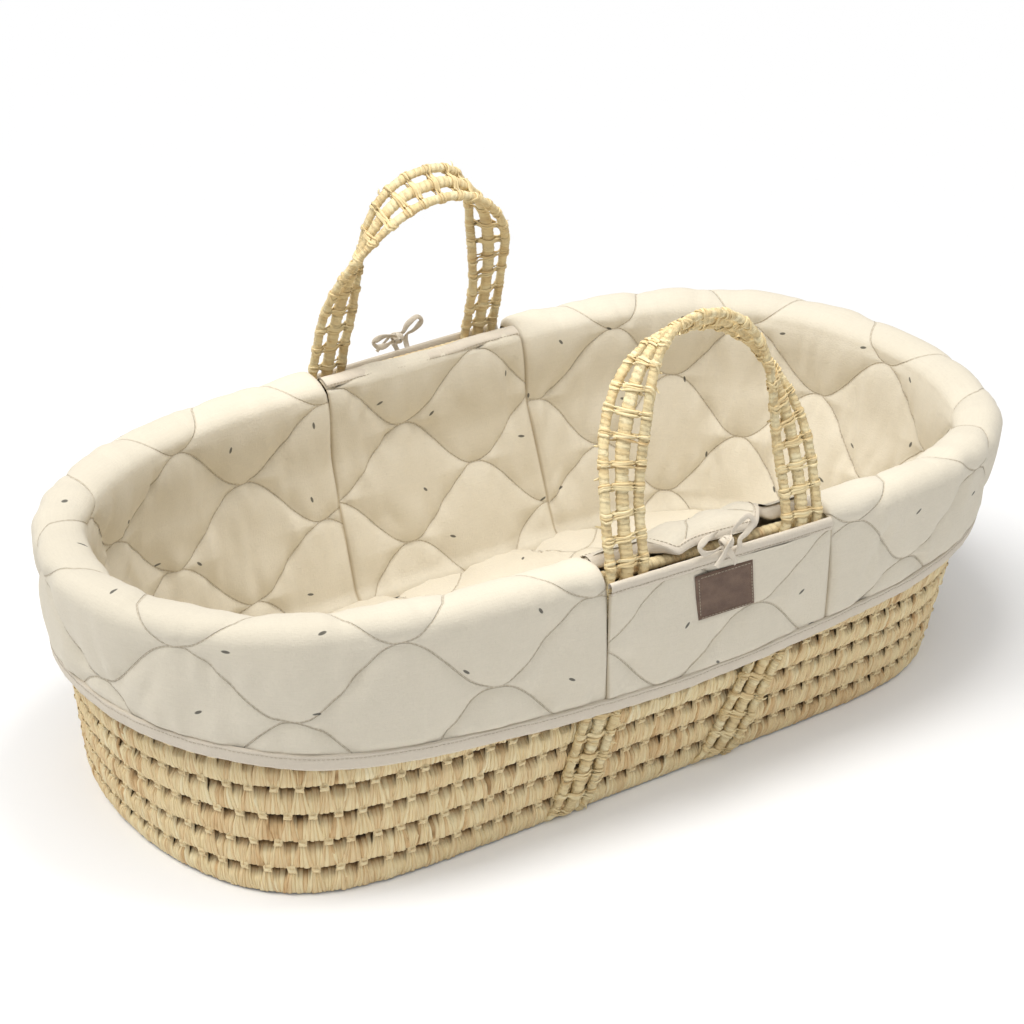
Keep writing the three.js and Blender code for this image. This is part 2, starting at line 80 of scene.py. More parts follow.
HEM_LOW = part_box("hem_binding")[0].z
HEM_LOW_X = 0.010
HEM_RISE_LEFT = 0.033
HEM_RISE_RIGHT = 0.042
HEM_POWER = 1.3
HEM_TAPE = 0.013
SEAM_TOP = (-0.090, 0.121)
SEAM_LEAN = (0.020, 0.032)
SLOT_WIDTH = SEAM_TOP[1] - SEAM_TOP[0]
FLAP_TOP_DROP = (0.0125, 0.009)
FLAP_TAPE = 0.011

LABEL_X, LABEL_Z, LABEL_WIDTH, LABEL_HEIGHT = 0.022, 0.187, 0.055, 0.045
LABEL_SHEAR = -0.2
LABEL_OUT = 0.0128
LABEL_ROUND = 0.0013
LABEL_GROOVE_INSET = 0.0042
LABEL_STITCH_INSET = 0.0024

BAND_WIDTH = 0.038
LEG_X = (-0.068, 0.098)
STRAP_HEM_X = (-0.078, 0.085)
STRAP_BASE_X = (-0.101, 0.047)
STRAP_OUT = 0.0036
HINGE_OUT = 0.0028
HINGE_RISE = 0.010
HANDLE_REACH = 0.172
HANDLE_LEAN = math.radians(15)
HANDLE_POWER = 2.4
HANDLE_TWIST = math.radians(115)

# The weave: cells around the basket in each row, and the strips of leaf in each cell.
CELL = 0.0194
STRIPS = 4
STRIP_EDGES = [-0.04, 0.0, 0.2, 0.5, 0.8, 1.0, 1.04]      # across a strip, with its turned-in edges
COARSE_STRIP_EDGES = [-0.04, 0.0, 0.5, 1.0, 1.04]
TURNED_IN = 0.0015
KNOT_HALF = 0.0028
KNOT_REACH = 0.0039             # how far a knot reaches into the rows above and below
KNOT_SPLIT = 0.0029             # between its two upright strips
KNOT_STRIP_HALF = 0.00175
KNOT_TURN_HALF = 0.0036         # half the length of the turn across them
ROPE_WRAP = 0.006
TIE_PITCH = 0.019               # between the bindings of a band
TIE_SHIFTS = (-0.0017, 0.0001, 0.0018)      # of the loops in each binding

# The quilting: ogee waves, each in antiphase to its neighbours.
WAVE_PERIOD = 0.155
WAVE_SPACE = 0.057
PUFF = 0.0060
PUFF_REACH = 0.014
CREASE = 0.0012
ROLL_BULGE = 0.013              # how much further the padded roll reaches into the basket
SLACK_IN, SLACK_UP = 0.006, 0.007      # how far the slack near panel moves in and up
CLOTH_STEP = 0.0024
FLOOR_GAP = 0.0002              # keeps the straps and the studio floor apart


# ---- small numeric helpers ---------------------------------------------------------------

def smoothstep(value, low, high):
    t = np.clip((value - low) / (high - low), 0, 1)
    return t * t * (3 - 2 * t)


def lerp(a, b, t):
    return a + (b - a) * t


def unit(vectors):
    return vectors / np.maximum(np.linalg.norm(vectors, axis=-1, keepdims=True), 1e-12)


def signed_power(value, power):
    return np.sign(value) * np.abs(value) ** power


def full_turn(count):
    """Angles evenly spaced around a circle."""
    return np.arange(count) / count * TAU


def chance(*keys):
    """A repeatable number from 0 to 1 for each set of whole-number keys."""
    mixed = 0.0
    for k, key in enumerate(keys):
        mixed = mixed + np.asarray(key, float) * (12.9898 + 65.233 * k)
    value = np.sin(mixed) * 43758.5453
    return value - np.floor(value)


def jitter(*keys):
    """A repeatable number from -0.5 to 0.5 for each set of keys."""
    return chance(*keys) - 0.5


def smooth_noise(x, y, seed):
    """Soft noise from -1 to 1 with features about one unit across."""
    i, j = np.floor(x), np.floor(y)
    u, v = smoothstep(x - i, 0, 1), smoothstep(y - j, 0, 1)
    low = lerp(chance(i, j, seed), chance(i + 1, j, seed), u)
    high = lerp(chance(i, j + 1, seed), chance(i + 1, j + 1, seed), u)
    return lerp(low, high, v) * 2 - 1


def run_along(points):
    """Distance along a line of points, from its start to each point."""
    return np.concatenate([[0], np.cumsum(np.linalg.norm(np.diff(points, axis=0), axis=1))])


def rows_at(place, places, rows):
    """Rows of numbers, given at some places, read at others."""
    return np.stack([np.interp(place, places, column) for column in rows.T], -1)


# ---- the wall surface --------------------------------------------------------------------

def lame_points(a, b, p, q, egg, angle):
    """Points of the outline |x/a|^p + |y/b|^q = 1, with the +X end widened by egg."""
    c, s = np.abs(np.cos(angle)), np.abs(np.sin(angle))
    low, high = np.ones_like(angle), np.full_like(angle, 1.5)
    for _ in range(32):
        reach = (low + high) / 2
        inside = (reach * c) ** p + (reach * s) ** q < 1
        low = np.where(inside, reach, low)
        high = np.where(inside, high, reach)
    x = low * np.cos(angle)
    return np.stack([a * x, b * low * np.sin(angle) * (1 + egg * x)], -1)


table_angles = np.linspace(0, TAU, 4097)
base_table = lame_points(BASE_A, BASE_B, BASE_P, BASE_Q, 0, table_angles) + [BASE_SHIFT, 0]
rim_table = lame_points(RIM_A, RIM_B, RIM_P, RIM_Q, EGG, table_angles)
middle_table = (base_table + rim_table) / 2
slope_table = np.gradient(middle_table, axis=0)
normal_table = unit(np.stack([slope_table[:, 1], -slope_table[:, 0]], -1))
normal_table[-1] = normal_table[0]
arc_table = run_along(middle_table)
PERIMETER = arc_table[-1]
CELLS = round(PERIMETER / CELL)


def looked_up(table, angle):
    return rows_at(np.asarray(angle) % TAU, table_angles, table)


def arc_of(angle):
    turns = np.floor(np.asarray(angle) / TAU)
    return turns * PERIMETER + np.interp(np.asarray(angle) % TAU, table_angles, arc_table)


def angle_of(arc):
    turns = np.floor(np.asarray(arc) / PERIMETER)
    return turns * TAU + np.interp(np.asarray(arc) % PERIMETER, arc_table, table_angles)


def outline(angle, level):
    foot, rim = looked_up(base_table, angle), looked_up(rim_table, angle)
    return lerp(foot, rim, np.clip(level, 0, 1)[..., None])


def coil_height_at(x):
    u = x / RIM_A
    return TOP_HEIGHT + TOP_TILT * u + TOP_CROWN * u * u - ROLL_RADIUS


def coil_height(angle):
    return coil_height_at(looked_up(rim_table, angle)[..., 0])


def wall(angle, z, out):
    """Points at a height, offset outwards from the palm wall's outer face."""
    angle, z, out = np.broadcast_arrays(angle, z, out)
    flat = outline(angle, z / coil_height(angle)) + looked_up(normal_table, angle) * out[..., None]
    return np.concatenate([flat, z[..., None]], -1)


def outward(angle):
    """The level direction that faces away from the basket at each angle."""
    flat = looked_up(normal_table, angle)
    return np.concatenate([flat, 0 * flat[..., :1]], -1)


def angle_at(x, z, side):
    """Direction angle of the wall point at a place along the length; side is -1 near, 1 far."""
    x, z = np.broadcast_arrays(np.asarray(x, float), np.asarray(z, float))
    level = z / coil_height_at(x)
    low, high = np.zeros_like(x), np.full_like(x, math.pi)
    for _ in range(40):
        middle = (low + high) / 2
        beyond = outline(middle, level)[..., 0] > x
        low = np.where(beyond, middle, low)
        high = np.where(beyond, high, middle)
    return side * low


def hem_height(angle):
    x = looked_up(rim_table, angle)[..., 0] - HEM_LOW_X
    rise = np.where(x > 0, HEM_RISE_RIGHT, HEM_RISE_LEFT)
    return HEM_LOW + rise * (np.abs(x) / RIM_A) ** HEM_POWER


def seam_x(index, z):
    return SEAM_TOP[index] + SEAM_LEAN[index] * (1 - z / TOP_HEIGHT)


def strap_x(index, z):
    upper = lerp(STRAP_HEM_X[index], LEG_X[index], (z - HEM_LOW) / (TOP_HEIGHT - HEM_LOW))
    lower = lerp(STRAP_BASE_X[index], STRAP_HEM_X[index], z / HEM_LOW)
    return np.where(z > HEM_LOW, upper, lower)


def flap_top(x):
    share = (x - SEAM_TOP[0]) / SLOT_WIDTH
    return coil_height_at(x) + ROLL_RADIUS - lerp(*FLAP_TOP_DROP, share)


def hinge_height(x):
    return coil_height_at(x) + HINGE_RISE


# ---- meshes from grids of points ---------------------------------------------------------

def linked(name, data):
    """An object with the data, linked into the scene."""
    item = bpy.data.objects.new(name, data)
    bpy.context.scene.collection.objects.link(item)
    return item


class Build:
    """Collects grids of points into one mesh. Every point has coord, its place on the leaf or
    cloth in metres with a seed, and tone, from 0 to 1, which sets the colour and in places carries painted
    shade."""

    def __init__(self):
        self.points, self.quads, self.slots = [], [], []
        self.coords, self.tones = [], []
        self.count = 0

    def add(self, grids, coord, tone, wrap_u=False, wrap_v=False, slot=0):
        """grids is (..., rows, columns, 3); each leading index is a separate patch."""
        self.coords.append(np.broadcast_to(coord, grids.shape).reshape(-1, 3))
        self.tones.append(np.broadcast_to(tone, grids.shape[:-1]).reshape(-1))
        rows, columns = grids.shape[-3:-1]
        grids = grids.reshape(-1, rows, columns, 3)
        patches = len(grids)
        u = np.arange(rows if wrap_u else rows - 1)[:, None]
        v = np.arange(columns if wrap_v else columns - 1)[None, :]
        next_u, next_v = (u + 1) % rows, (v + 1) % columns
        corners = [u * columns + v, next_u * columns + v, next_u * columns + next_v, u * columns + next_v]
        faces = np.stack(corners, -1).reshape(1, -1, 4)
        starts = self.count + np.arange(patches)[:, None, None] * rows * columns
        quads = (faces + starts).reshape(-1, 4)
        self.points.append(grids.reshape(-1, 3))
        self.quads.append(quads)
        self.slots.append(np.full(len(quads), slot))
        self.count += patches * rows * columns

    def rest_on_floor(self):
        for points in self.points:
            points[:, 2] = np.maximum(points[:, 2], FLOOR_GAP)

    def finish(self, name, materials):
        mesh = bpy.data.meshes.new(name)
        points, quads = np.concatenate(self.points), np.concatenate(self.quads)
        mesh.vertices.add(len(points))
        mesh.vertices.foreach_set("co", points.astype(np.float32).ravel())
        mesh.loops.add(quads.size)
        mesh.loops.foreach_set("vertex_index", quads.astype(np.int32).ravel())
        mesh.polygons.add(len(quads))
        mesh.polygons.foreach_set("loop_start", np.arange(0, quads.size, 4, dtype=np.int32))
        mesh.polygons.foreach_set("material_index", np.concatenate(self.slots).astype(np.int32))
        mesh.polygons.foreach_set("use_smooth", np.ones(len(quads), bool))
        mesh.update(calc_edges=True)
        coord = mesh.attributes.new("coord", "FLOAT_VECTOR", "POINT")
        coord.data.foreach_set("vector", np.concatenate(self.coords).astype(np.float32).ravel())
        tone = mesh.attributes.new("tone", "FLOAT", "POINT")
        tone.data.foreach_set("value", np.concatenate(self.tones).astype(np.float32))
        for material in materials:
            mesh.materials.append(material)
        return linked(name, mesh)


def place_piece(build, name, materials, node, body="basket"):
    piece = build.finish(name, materials)
    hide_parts(node)
    if body:
        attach(piece, body)
    return piece


def stacked(*parts):
    """Broadcasts the parts and stacks them into points."""
    return np.stack(np.broadcast_arrays(*parts), -1)


def grid_normals(grid, wrap_u=False):
    if wrap_u:
        du = np.roll(grid, -1, 0) - np.roll(grid, 1, 0)
    else:
        du = np.gradient(grid, axis=0)
    dv = np.gradient(grid, axis=1)
    return unit(np.cross(du, dv))


def smooth_path(points, count):
    """Evenly spaced points of a Catmull-Rom curve through the points."""
    points = np.asarray(points, float)
    padded = np.concatenate([[2 * points[0] - points[1]], points, [2 * points[-1] - points[-2]]])
    t = np.linspace(0, 1, 24, endpoint=False)[:, None]
    pieces = []
    for i in range(len(points) - 1):
        a, b, c, d = padded[i:i + 4]
        pieces.append(0.5 * (2 * b + (c - a) * t + (2 * a - 5 * b + 4 * c - d) * t ** 2
                             + (3 * b - a - 3 * c + d) * t ** 3))
    fine = np.concatenate(pieces + [points[-1:]])
    run = run_along(fine)
    return rows_at(np.linspace(0, run[-1], count), run, fine)


def tube(build, path, normals, half_width, half_thick, tone, seed, closed=False, sides=8):
    """A flat strand along a path; normals point away from the face that it lies on."""
    ahead = np.roll(path, -1, 0) - np.roll(path, 1, 0) if closed else np.gradient(path, axis=0)
    tangent = unit(ahead)
    normals = unit(normals - tangent * np.sum(normals * tangent, -1, keepdims=True))
    across = np.cross(tangent, normals)
    turn = full_turn(sides)[:, None]
    wide = np.cos(turn) * np.reshape(half_width, (-1, 1, 1))
    thick = np.sin(turn) * np.reshape(half_thick, (-1, 1, 1))
    grid = path[:, None] + across[:, None] * wide + normals[:, None] * thick
    coord = stacked(run_along(path)[:, None], wide[..., 0], seed)
    build.add(grid, coord, tone, wrap_u=closed, wrap_v=True)


# ---- materials ---------------------------------------------------------------------------

class Shader:
    """A material's node tree, with short calls for the nodes used here."""

    def __init__(self, name):
        self.material = bpy.data.materials.new(name)
        self.material.use_nodes = True
        self.tree = self.material.node_tree
        self.surface = self.tree.nodes["Principled BSDF"]
        coord = self.node("ShaderNodeAttribute", attribute_name="coord")
        tone = self.node("ShaderNodeAttribute", attribute_name="tone")
        parts = self.node("ShaderNodeSeparateXYZ", Vector=coord.outputs["Vector"])
        self.along, self.across, self.seed = parts.outputs
        self.tone = tone.outputs["Fac"]

    def feed(self, socket, value):
        """Links another node's output to a socket, or sets its value."""
        if isinstance(value, bpy.types.NodeSocket):
            self.tree.links.new(value, socket)
        else:
            socket.default_value = value

    def node(self, kind, **settings):
        node = self.tree.nodes.new(kind)
        for name, value in settings.items():
            socket = node.inputs.get(name.replace("_", " ")) or node.inputs.get(name)
            if socket is None:
                setattr(node, name, value)
            else:
                self.feed(socket, value)
        return node

    def math(self, operation, *values):
        node = self.node("ShaderNodeMath", operation=operation)
        for socket, value in zip(node.inputs, values):
            self.feed(socket, value)
        return node.outputs[0]

    def add(self, first, second):
        return self.math("ADD", first, second)

    def minus(self, first, second):
        return self.math("SUBTRACT", first, second)

    def times(self, first, second):
        return self.math("MULTIPLY", first, second)

    def point(self, x, y, z):
        return self.node("ShaderNodeCombineXYZ", X=x, Y=y, Z=z).outputs[0]

    def stretched(self, along, across, seed=37.0):
        """The surface coordinates scaled for a texture, moved apart for each seed."""
        return self.point(
            self.times(self.along, along),
            self.times(self.across, across),
            self.times(self.seed, seed),
        )

    def noise(self, vector, detail=3.0, roughness=0.55):
        node = self.node("ShaderNodeTexNoise", Vector=vector, Scale=1.0, Detail=detail, Roughness=roughness)
        return node.outputs["Fac"]

    def ramp(self, value, stops):
        node = self.tree.nodes.new("ShaderNodeValToRGB")
        self.tree.links.new(value, node.inputs[0])
        elements = node.color_ramp.elements
        while len(elements) < len(stops):
            elements.new(0.5)
        for element, (position, colour) in zip(elements, stops):
            element.position = position
            element.color = (*colour, 1) if len(colour) == 3 else colour
        return node.outputs["Color"]

    def band(self, value, low, high):
        """0 below low, 1 above high, smooth between."""
        node = self.node(
            "ShaderNodeMapRange", interpolation_type="SMOOTHSTEP", Value=value,
            From_Min=low, From_Max=high,
        )
        return node.outputs["Result"]

    def mixed(self, share, first, second, blend="MIX"):
        node = self.node("ShaderNodeMix", data_type="RGBA", blend_type=blend)
        for index, value in ((0, share), (6, first), (7, second)):
            self.feed(node.inputs[index], (*value, 1) if isinstance(value, tuple) else value)
        return node.outputs[2]

    def shaded(self, colour, shade):
        """The colour darkened by a grey shade."""
        return self.mixed(1.0, colour, self.point(shade, shade, shade), "MULTIPLY")

    def bump(self, height, distance):
        node = self.node("ShaderNodeBump", Height=height, Distance=distance)
        self.feed(self.surface.inputs["Normal"], node.outputs["Normal"])

    def set(self, **values):
        for name, value in values.items():
            self.feed(self.surface.inputs[name.replace("_", " ")], value)
        return self.material


def palm_material(name, stops, dark):
    """Dried palm leaf: long fibres, streaks and a few browner and greener places."""
    s = Shader(name)
    fibres = s.noise(s.stretched(70, 2600), detail=4)
    streaks = s.noise(s.stretched(28, 700, 91.0), detail=2)
    patches = s.noise(s.stretched(45, 45, 13.0), detail=2)
    tone = s.add(s.tone, s.times(s.minus(patches, 0.5), 0.5))
    colour = s.ramp(tone, stops)
    colour = s.mixed(s.times(s.band(streaks, 0.52, 0.72), 0.55), colour, dark, "MULTIPLY")
    shade = s.add(0.84, s.times(fibres, 0.36))
    colour = s.shaded(colour, shade)
    height = s.add(fibres, s.times(streaks, 0.8))
    s.bump(height, 0.0005)
    rough = s.add(0.5, s.times(fibres, 0.3))
    return s.set(Base_Color=colour, Roughness=rough, Specular_IOR_Level=0.35)


def core_material():
    """The bundle inside the rows: leaf coloured behind the strips, and painted shade in the slits, where
    tone is 0.
    """
    s = Shader("palm_core")
    fibres = s.noise(s.stretched(90, 1500), detail=4)
    slit_shade_stops = [(0.3, (0.045, 0.025, 0.011)), (0.6, (0.13, 0.08, 0.038)), (0.8, (0.24, 0.15, 0.07))]
    shaded = s.ramp(fibres, slit_shade_stops)
    leaf = s.ramp(fibres, [(0.3, (0.36, 0.25, 0.13)), (0.7, (0.58, 0.44, 0.25))])
    colour = s.mixed(s.tone, shaded, leaf)
    s.bump(fibres, 0.0008)
    return s.set(Base_Color=colour, Roughness=0.85, Specular_IOR_Level=0.2)


def linen_height(s, thread):
    """Height of a plain weave with uneven threads."""
    warp = s.noise(s.stretched(0.28 / thread, 1.0 / thread), detail=2)
    weft = s.noise(s.stretched(1.0 / thread, 0.28 / thread, 71.0), detail=2)
    return s.add(warp, weft)


def printed_marks(s):
    """Small dark dashes, one in each cell of a loose grid, each turned its own way."""
    spacing, row_spacing = 0.088, 0.0704
    half_length, half_width = 0.0032, 0.00125
    place = s.point(
        s.math("DIVIDE", s.along, spacing),
        s.add(s.math("DIVIDE", s.across, row_spacing), s.times(s.seed, 3.7)),
        0.0,
    )
    cells = s.node(
        "ShaderNodeTexVoronoi", voronoi_dimensions="2D", Vector=place, Scale=1.0, Randomness=0.62,
    )
    offset = s.node("ShaderNodeVectorMath", operation="SUBTRACT")
    s.tree.links.new(place, offset.inputs[0])
    s.tree.links.new(cells.outputs["Position"], offset.inputs[1])
    dx, dy, _ = s.node("ShaderNodeSeparateXYZ", Vector=offset.outputs[0]).outputs
    dx, dy = s.times(dx, spacing), s.times(dy, row_spacing)
    turn = s.times(s.node("ShaderNodeSeparateColor", Color=cells.outputs["Color"]).outputs[0], TAU)
    cos, sin = s.math("COSINE", turn), s.math("SINE", turn)
    long = s.add(s.times(dx, cos), s.times(dy, sin))
    wide = s.minus(s.times(dy, cos), s.times(dx, sin))
    long_squared = s.math("POWER", s.math("DIVIDE", long, half_length), 2.0)
    wide_squared = s.math("POWER", s.math("DIVIDE", wide, half_width), 2.0)
    size = s.math("SQRT", s.add(long_squared, wide_squared))
    return s.minus(1.0, s.band(size, 0.75, 1.15))


def quilt_line_distance(s):
    """Distance to the nearest quilting line, as quilt_distance() has it for the mesh."""
    turn = s.times(s.along, TAU / WAVE_PERIOD)
    wave = s.times(s.math("COSINE", turn), WAVE_SPACE / 2)
    slope = s.times(s.math("SINE", turn), math.pi * WAVE_SPACE / WAVE_PERIOD)
    stretch = s.math("SQRT", s.add(1.0, s.times(slope, slope)))
    even = s.math("PINGPONG", s.minus(s.across, wave), WAVE_SPACE)
    odd = s.math("PINGPONG", s.add(s.minus(s.across, WAVE_SPACE), wave), WAVE_SPACE)
    return s.math("DIVIDE", s.math("MINIMUM", even, odd), stretch)


def cotton_material(quilted):
    """Oatmeal cotton with a fine weave, and for the quilted panels the stitching and print."""
    s = Shader("quilted_cotton" if quilted else "cotton_tape")
    weave = linen_height(s, 0.0011)
    slubs = s.noise(s.stretched(40, 900, 19.0), detail=2)
    cloud = s.noise(s.stretched(14, 14, 5.0), detail=2)
    pale, warm = (0.70, 0.63, 0.525), (0.64, 0.57, 0.465)
    if quilted:
        pale, warm = (0.735, 0.675, 0.555), (0.68, 0.62, 0.50)
    colour = s.mixed(cloud, warm, pale)
    shade = s.add(0.90, s.times(s.add(weave, slubs), 0.07))
    colour = s.shaded(colour, shade)
    height = s.times(weave, 0.6)
    if quilted:
        distance = quilt_line_distance(s)
        near = s.minus(1.0, s.band(distance, 0.0002, 0.0010))
        stitch = s.band(s.math("PINGPONG", s.along, 0.0016), 0.0002, 0.0009)
        thread = s.times(near, s.add(0.25, s.times(stitch, 0.30)))
        colour = s.mixed(thread, colour, (0.46, 0.37, 0.24))
        # Painted shade in the seam furrows, where tone is 0.
        colour = s.mixed(s.tone, (0.46, 0.38, 0.26), colour)
        colour = s.mixed(s.times(printed_marks(s), 0.85), colour, (0.045, 0.045, 0.035))
        height = s.minus(height, s.times(near, 1.4))
    s.bump(height, 0.0005)
    return s.set(
        Base_Color=colour, Roughness=0.92, Specular_IOR_Level=0.15,
        Sheen_Weight=0.15, Sheen_Roughness=0.6,
    )


def elastic_material():
    s = Shader("elastic")
    ribs = s.noise(s.stretched(1400, 200), detail=1)
    colour = s.ramp(ribs, [(0.3, (0.62, 0.58, 0.5)), (0.7, (0.85, 0.82, 0.75))])
    s.bump(ribs, 0.0004)
    return s.set(Base_Color=colour, Roughness=0.8)


def leather_material():
    """Brown leather-like patch with a pebbled grain."""
    s = Shader("leather")
    place = s.stretched(1100, 1100)
    grain = s.node("ShaderNodeTexVoronoi", Vector=place, Scale=1.0, feature="DISTANCE_TO_EDGE")
    cloud = s.noise(s.stretched(90, 90), detail=4)
    colour = s.ramp(cloud, [(0.3, (0.155, 0.095, 0.065)), (0.7, (0.235, 0.150, 0.105))])
    creases = s.band(grain.outputs["Distance"], 0.0, 0.2)
    shade = s.add(0.82, s.times(creases, 0.18))
    colour = s.shaded(colour, shade)
    s.bump(creases, 0.0002)
    return s.set(Base_Color=colour, Roughness=0.58, Specular_IOR_Level=0.4)


def thread_material():
    s = Shader("thread")
    twist = s.noise(s.stretched(2500, 900), detail=1)
    colour = s.ramp(twist, [(0.3, (0.38, 0.32, 0.23)), (0.7, (0.62, 0.55, 0.43))])
    s.bump(twist, 0.0002)
    return s.set(Base_Color=colour, Roughness=0.8)


# The darkest stops, near tone 0, are mostly painted shade, reached where leaf curls into the hollow of a
# gap.
PALM_STOPS = [
    (0.00, (0.07, 0.038, 0.016)),
    (0.12, (0.40, 0.25, 0.11)),
    (0.22, (0.71, 0.50, 0.26)),
    (0.38, (0.79, 0.61, 0.35)),
    (0.62, (0.84, 0.69, 0.41)),
    (0.85, (0.87, 0.74, 0.46)),
    (1.00, (0.90, 0.81, 0.56)),
]
HANDLE_STOPS = [
    (0.00, (0.58, 0.37, 0.16)),
    (0.25, (0.72, 0.55, 0.29)),
    (0.60, (0.82, 0.67, 0.38)),
    (1.00, (0.88, 0.78, 0.51)),
]
palm = palm_material("palm_leaf", PALM_STOPS, (0.62, 0.42, 0.24))
handle_palm = palm_material("palm_handle", HANDLE_STOPS, (0.58, 0.41, 0.22))
palm_core = core_material()
cotton = cotton_material(quilted=True)
tape = cotton_material(quilted=False)
elastic = elastic_material()
leather = leather_material()
thread = thread_material()


# ---- camera, light and floor -------------------------------------------------------------

def turned_to(away, place=(0, 0, 0)):
    """A place and a level-set rotation whose local Z axis points along away."""
    right = unit(np.cross([0, 0, 1], away))
    matrix = Matrix(np.stack([right, np.cross(away, right), away], -1).tolist()).to_4x4()
    matrix.translation = place
    return matrix


PHOTO_WIDTH = 1024                    # both in pixels
FOCAL_LENGTH_IN_PIXELS = 2561.08


def add_camera():
    """The photo's camera, as solved from the outlines in it."""
    target = np.array([-0.004747, 0.025347, 0.153955])
    azimuth, elevation, distance = -0.6005, 0.4783, 2.1863
    away = np.array([
        math.sin(azimuth) * math.cos(elevation),
        -math.cos(azimuth) * math.cos(elevation),
        math.sin(elevation),
    ])
    data = bpy.data.cameras.new("camera")
    data.sensor_width = 36
    data.lens = FOCAL_LENGTH_IN_PIXELS / PHOTO_WIDTH * data.sensor_width
    camera = linked("camera", data)
    camera.matrix_world = turned_to(away, (target + away * distance).tolist())
    bpy.context.scene.camera = camera


def add_soft_light(name, towards, spread, strength, colour):
    """A wide, distant light. towards is the direction from the basket to the light."""
    data = bpy.data.lights.new(name, "SUN")
    data.angle = math.radians(spread)
    data.energy = strength
    data.color = colour
    linked(name, data).matrix_world = turned_to(unit(np.asarray(towards, float)))


def add_inside_light():
    """A softbox close above the basket that lights its inside more than its outer walls."""
    data = bpy.data.lights.new("inside", "AREA")
    data.shape = "DISK"
    data.size = 0.5
    data.spread = math.radians(50)
    data.energy = 1.2
    data.color = (1.0, 0.975, 0.94)
    light = linked("inside", data)
    light.location = (0.0, -0.15, 1.6)
    light.rotation_euler = (math.radians(7), 0, 0)


def add_studio():
    world = bpy.data.worlds.new("studio")
    world.use_nodes = True
    sky = world.node_tree.nodes["Background"].inputs
    sky["Color"].default_value = (0.98, 0.99, 1.0, 1)
    sky["Strength"].default_value = 0.34
    bpy.context.scene.world = world
    bpy.context.scene.view_settings.view_transform = "Standard"
    add_soft_light("key", (-1.35, 0.75, 2.4), 32, 1.6, (1.0, 0.985, 0.96))
    add_soft_light("overhead", (-0.2, -0.9, 2.8), 60, 1.1, (1.0, 0.99, 0.975))
    add_inside_light()
    floor = Shader("floor")
    cloud = floor.noise(floor.point(1.0, 1.0, 1.0), detail=0)
    pale = floor.mixed(cloud, (0.87, 0.875, 0.885), (0.89, 0.895, 0.905))
    material = floor.set(
        Base_Color=pale, Roughness=0.9, Emission_Color=(1, 1, 1, 1), Emission_Strength=0.05,
    )
    build = Build()
    side = np.linspace(-9, 9, 3)
    build.add(stacked(side[:, None], side, -FLOOR_GAP), (0, 0, 0), 0.5)
    build.finish("studio_floor", [material])


add_camera()
add_studio()


# ---- palm rows ---------------------------------------------------------------------------

def knot_arcs(gap):
    """Places around the wall of the knots in a gap between rows, staggered from gap to gap."""
    j = np.arange(CELLS)
    shift = 0.5 * (gap % 2) + jitter(j, gap, 3) * 0.12
    return (j + shift) * PERIMETER / CELLS


def leaf_profile(height, from_top):
    """How far the leaf stands out over a row's height. A fan from the knot above comes down
    proud over the gap below; a fan from the knot below curls deep into the gap above."""
    if from_top:
        stand, curl, tuck = 0.8, 3.4 * smoothstep(height, 0.62, 1), 1.4 * smoothstep(height, 0.2, 0)
    else:
        stand, curl, tuck = 0.3, 7.5 * smoothstep(height, 0.54, 1), 1.2 * smoothstep(height, 0.22, 0)
    return (stand - curl - tuck) * MM


def leaf_fans(build, surface, knots, from_top, seed, half_cell, fine=True, tuck=0):
    """Fans of strips, one for each knot. surface(arc, height, out) places them on a row whose
    height runs from 0 to 1."""
    k = np.arange(len(knots))[:, None, None, None]
    strip = np.arange(STRIPS)[:, None, None]
    h = np.linspace(0, 1, 11 if fine else 6)[:, None]
    f = np.array(STRIP_EDGES if fine else COARSE_STRIP_EDGES)
    left = (strip + jitter(k, strip, seed) * 0.5 * (strip > 0)) / STRIPS
    after = strip + 1
    right = (after + jitter(k, after, seed) * 0.5 * (after < STRIPS)) / STRIPS
    share = lerp(left, right, f) * 2 - 1
    spread = h if not from_top else 1 - h
    wide = half_cell * 1.12 - 0.9 * KNOT_HALF
    half = lerp(KNOT_HALF * 1.15, wide, spread ** (1.2 if from_top else 0.8))
    lean = jitter(k, seed, 5) * 3 * MM * (h - 0.5)
    arc = knots[:, None, None, None] + share * half + lean
    arch = (0.55 + 0.35 * chance(k, strip, seed + 1)) * MM * (1 - (2 * np.clip(f, 0, 1) - 1) ** 2)
    layer = (jitter(k, strip, seed + 2) * 0.8 + jitter(k, strip, seed + 4) * 0.7 * (f - 0.5)) * MM
    folded = np.where((f < 0) | (f > 1), -TURNED_IN, 0)
    wave = 0.35 * MM * smooth_noise(h * 3 + 7 * chance(k, strip, seed), share * 2 + k, seed)
    out = leaf_profile(h, from_top) + arch + layer + folded + wave
    end = 0.03 + 0.04 * chance(k, strip, seed + 6)
    height = lerp(end, 1 - end * (1.0 if from_top else 1.9), h)
    out = out - tuck * (1 - smoothstep(height, 0, 0.55)) ** 1.5
    grid = surface(arc, height, out)
    coord = stacked(h * CELL, share * half, chance(k, strip, seed + 8))
    # Leaf that curls into a gap gets a lower tone: painted shade from the dark end of the stops.
    build.add(grid, coord, leaf_tone(k, strip, seed) * (1 - hollow_shade(h, from_top)))


def hollow_shade(height, from_top):
    """How much painted shade darkens a leaf: 1 where it has curled into the shaded hollow of a gap, and 0
    on its open face.
    """
    return (0.5 if from_top else 1.0) * smoothstep(height, 0.92 if from_top else 0.68, 1)


def leaf_tone(k, strip, seed):
    """Most strips are straw coloured, with a few tan ones, and slow changes along the row."""
    slow = smooth_noise(k / 7.0, seed, 11)
    own = chance(k, strip, seed + 9)
    tan = (chance(k, strip, seed + 10) > 0.93) * 0.4
    return np.clip(0.58 + 0.15 * slow + 0.48 * (own - 0.5) - tan, 0.22, 0.98)


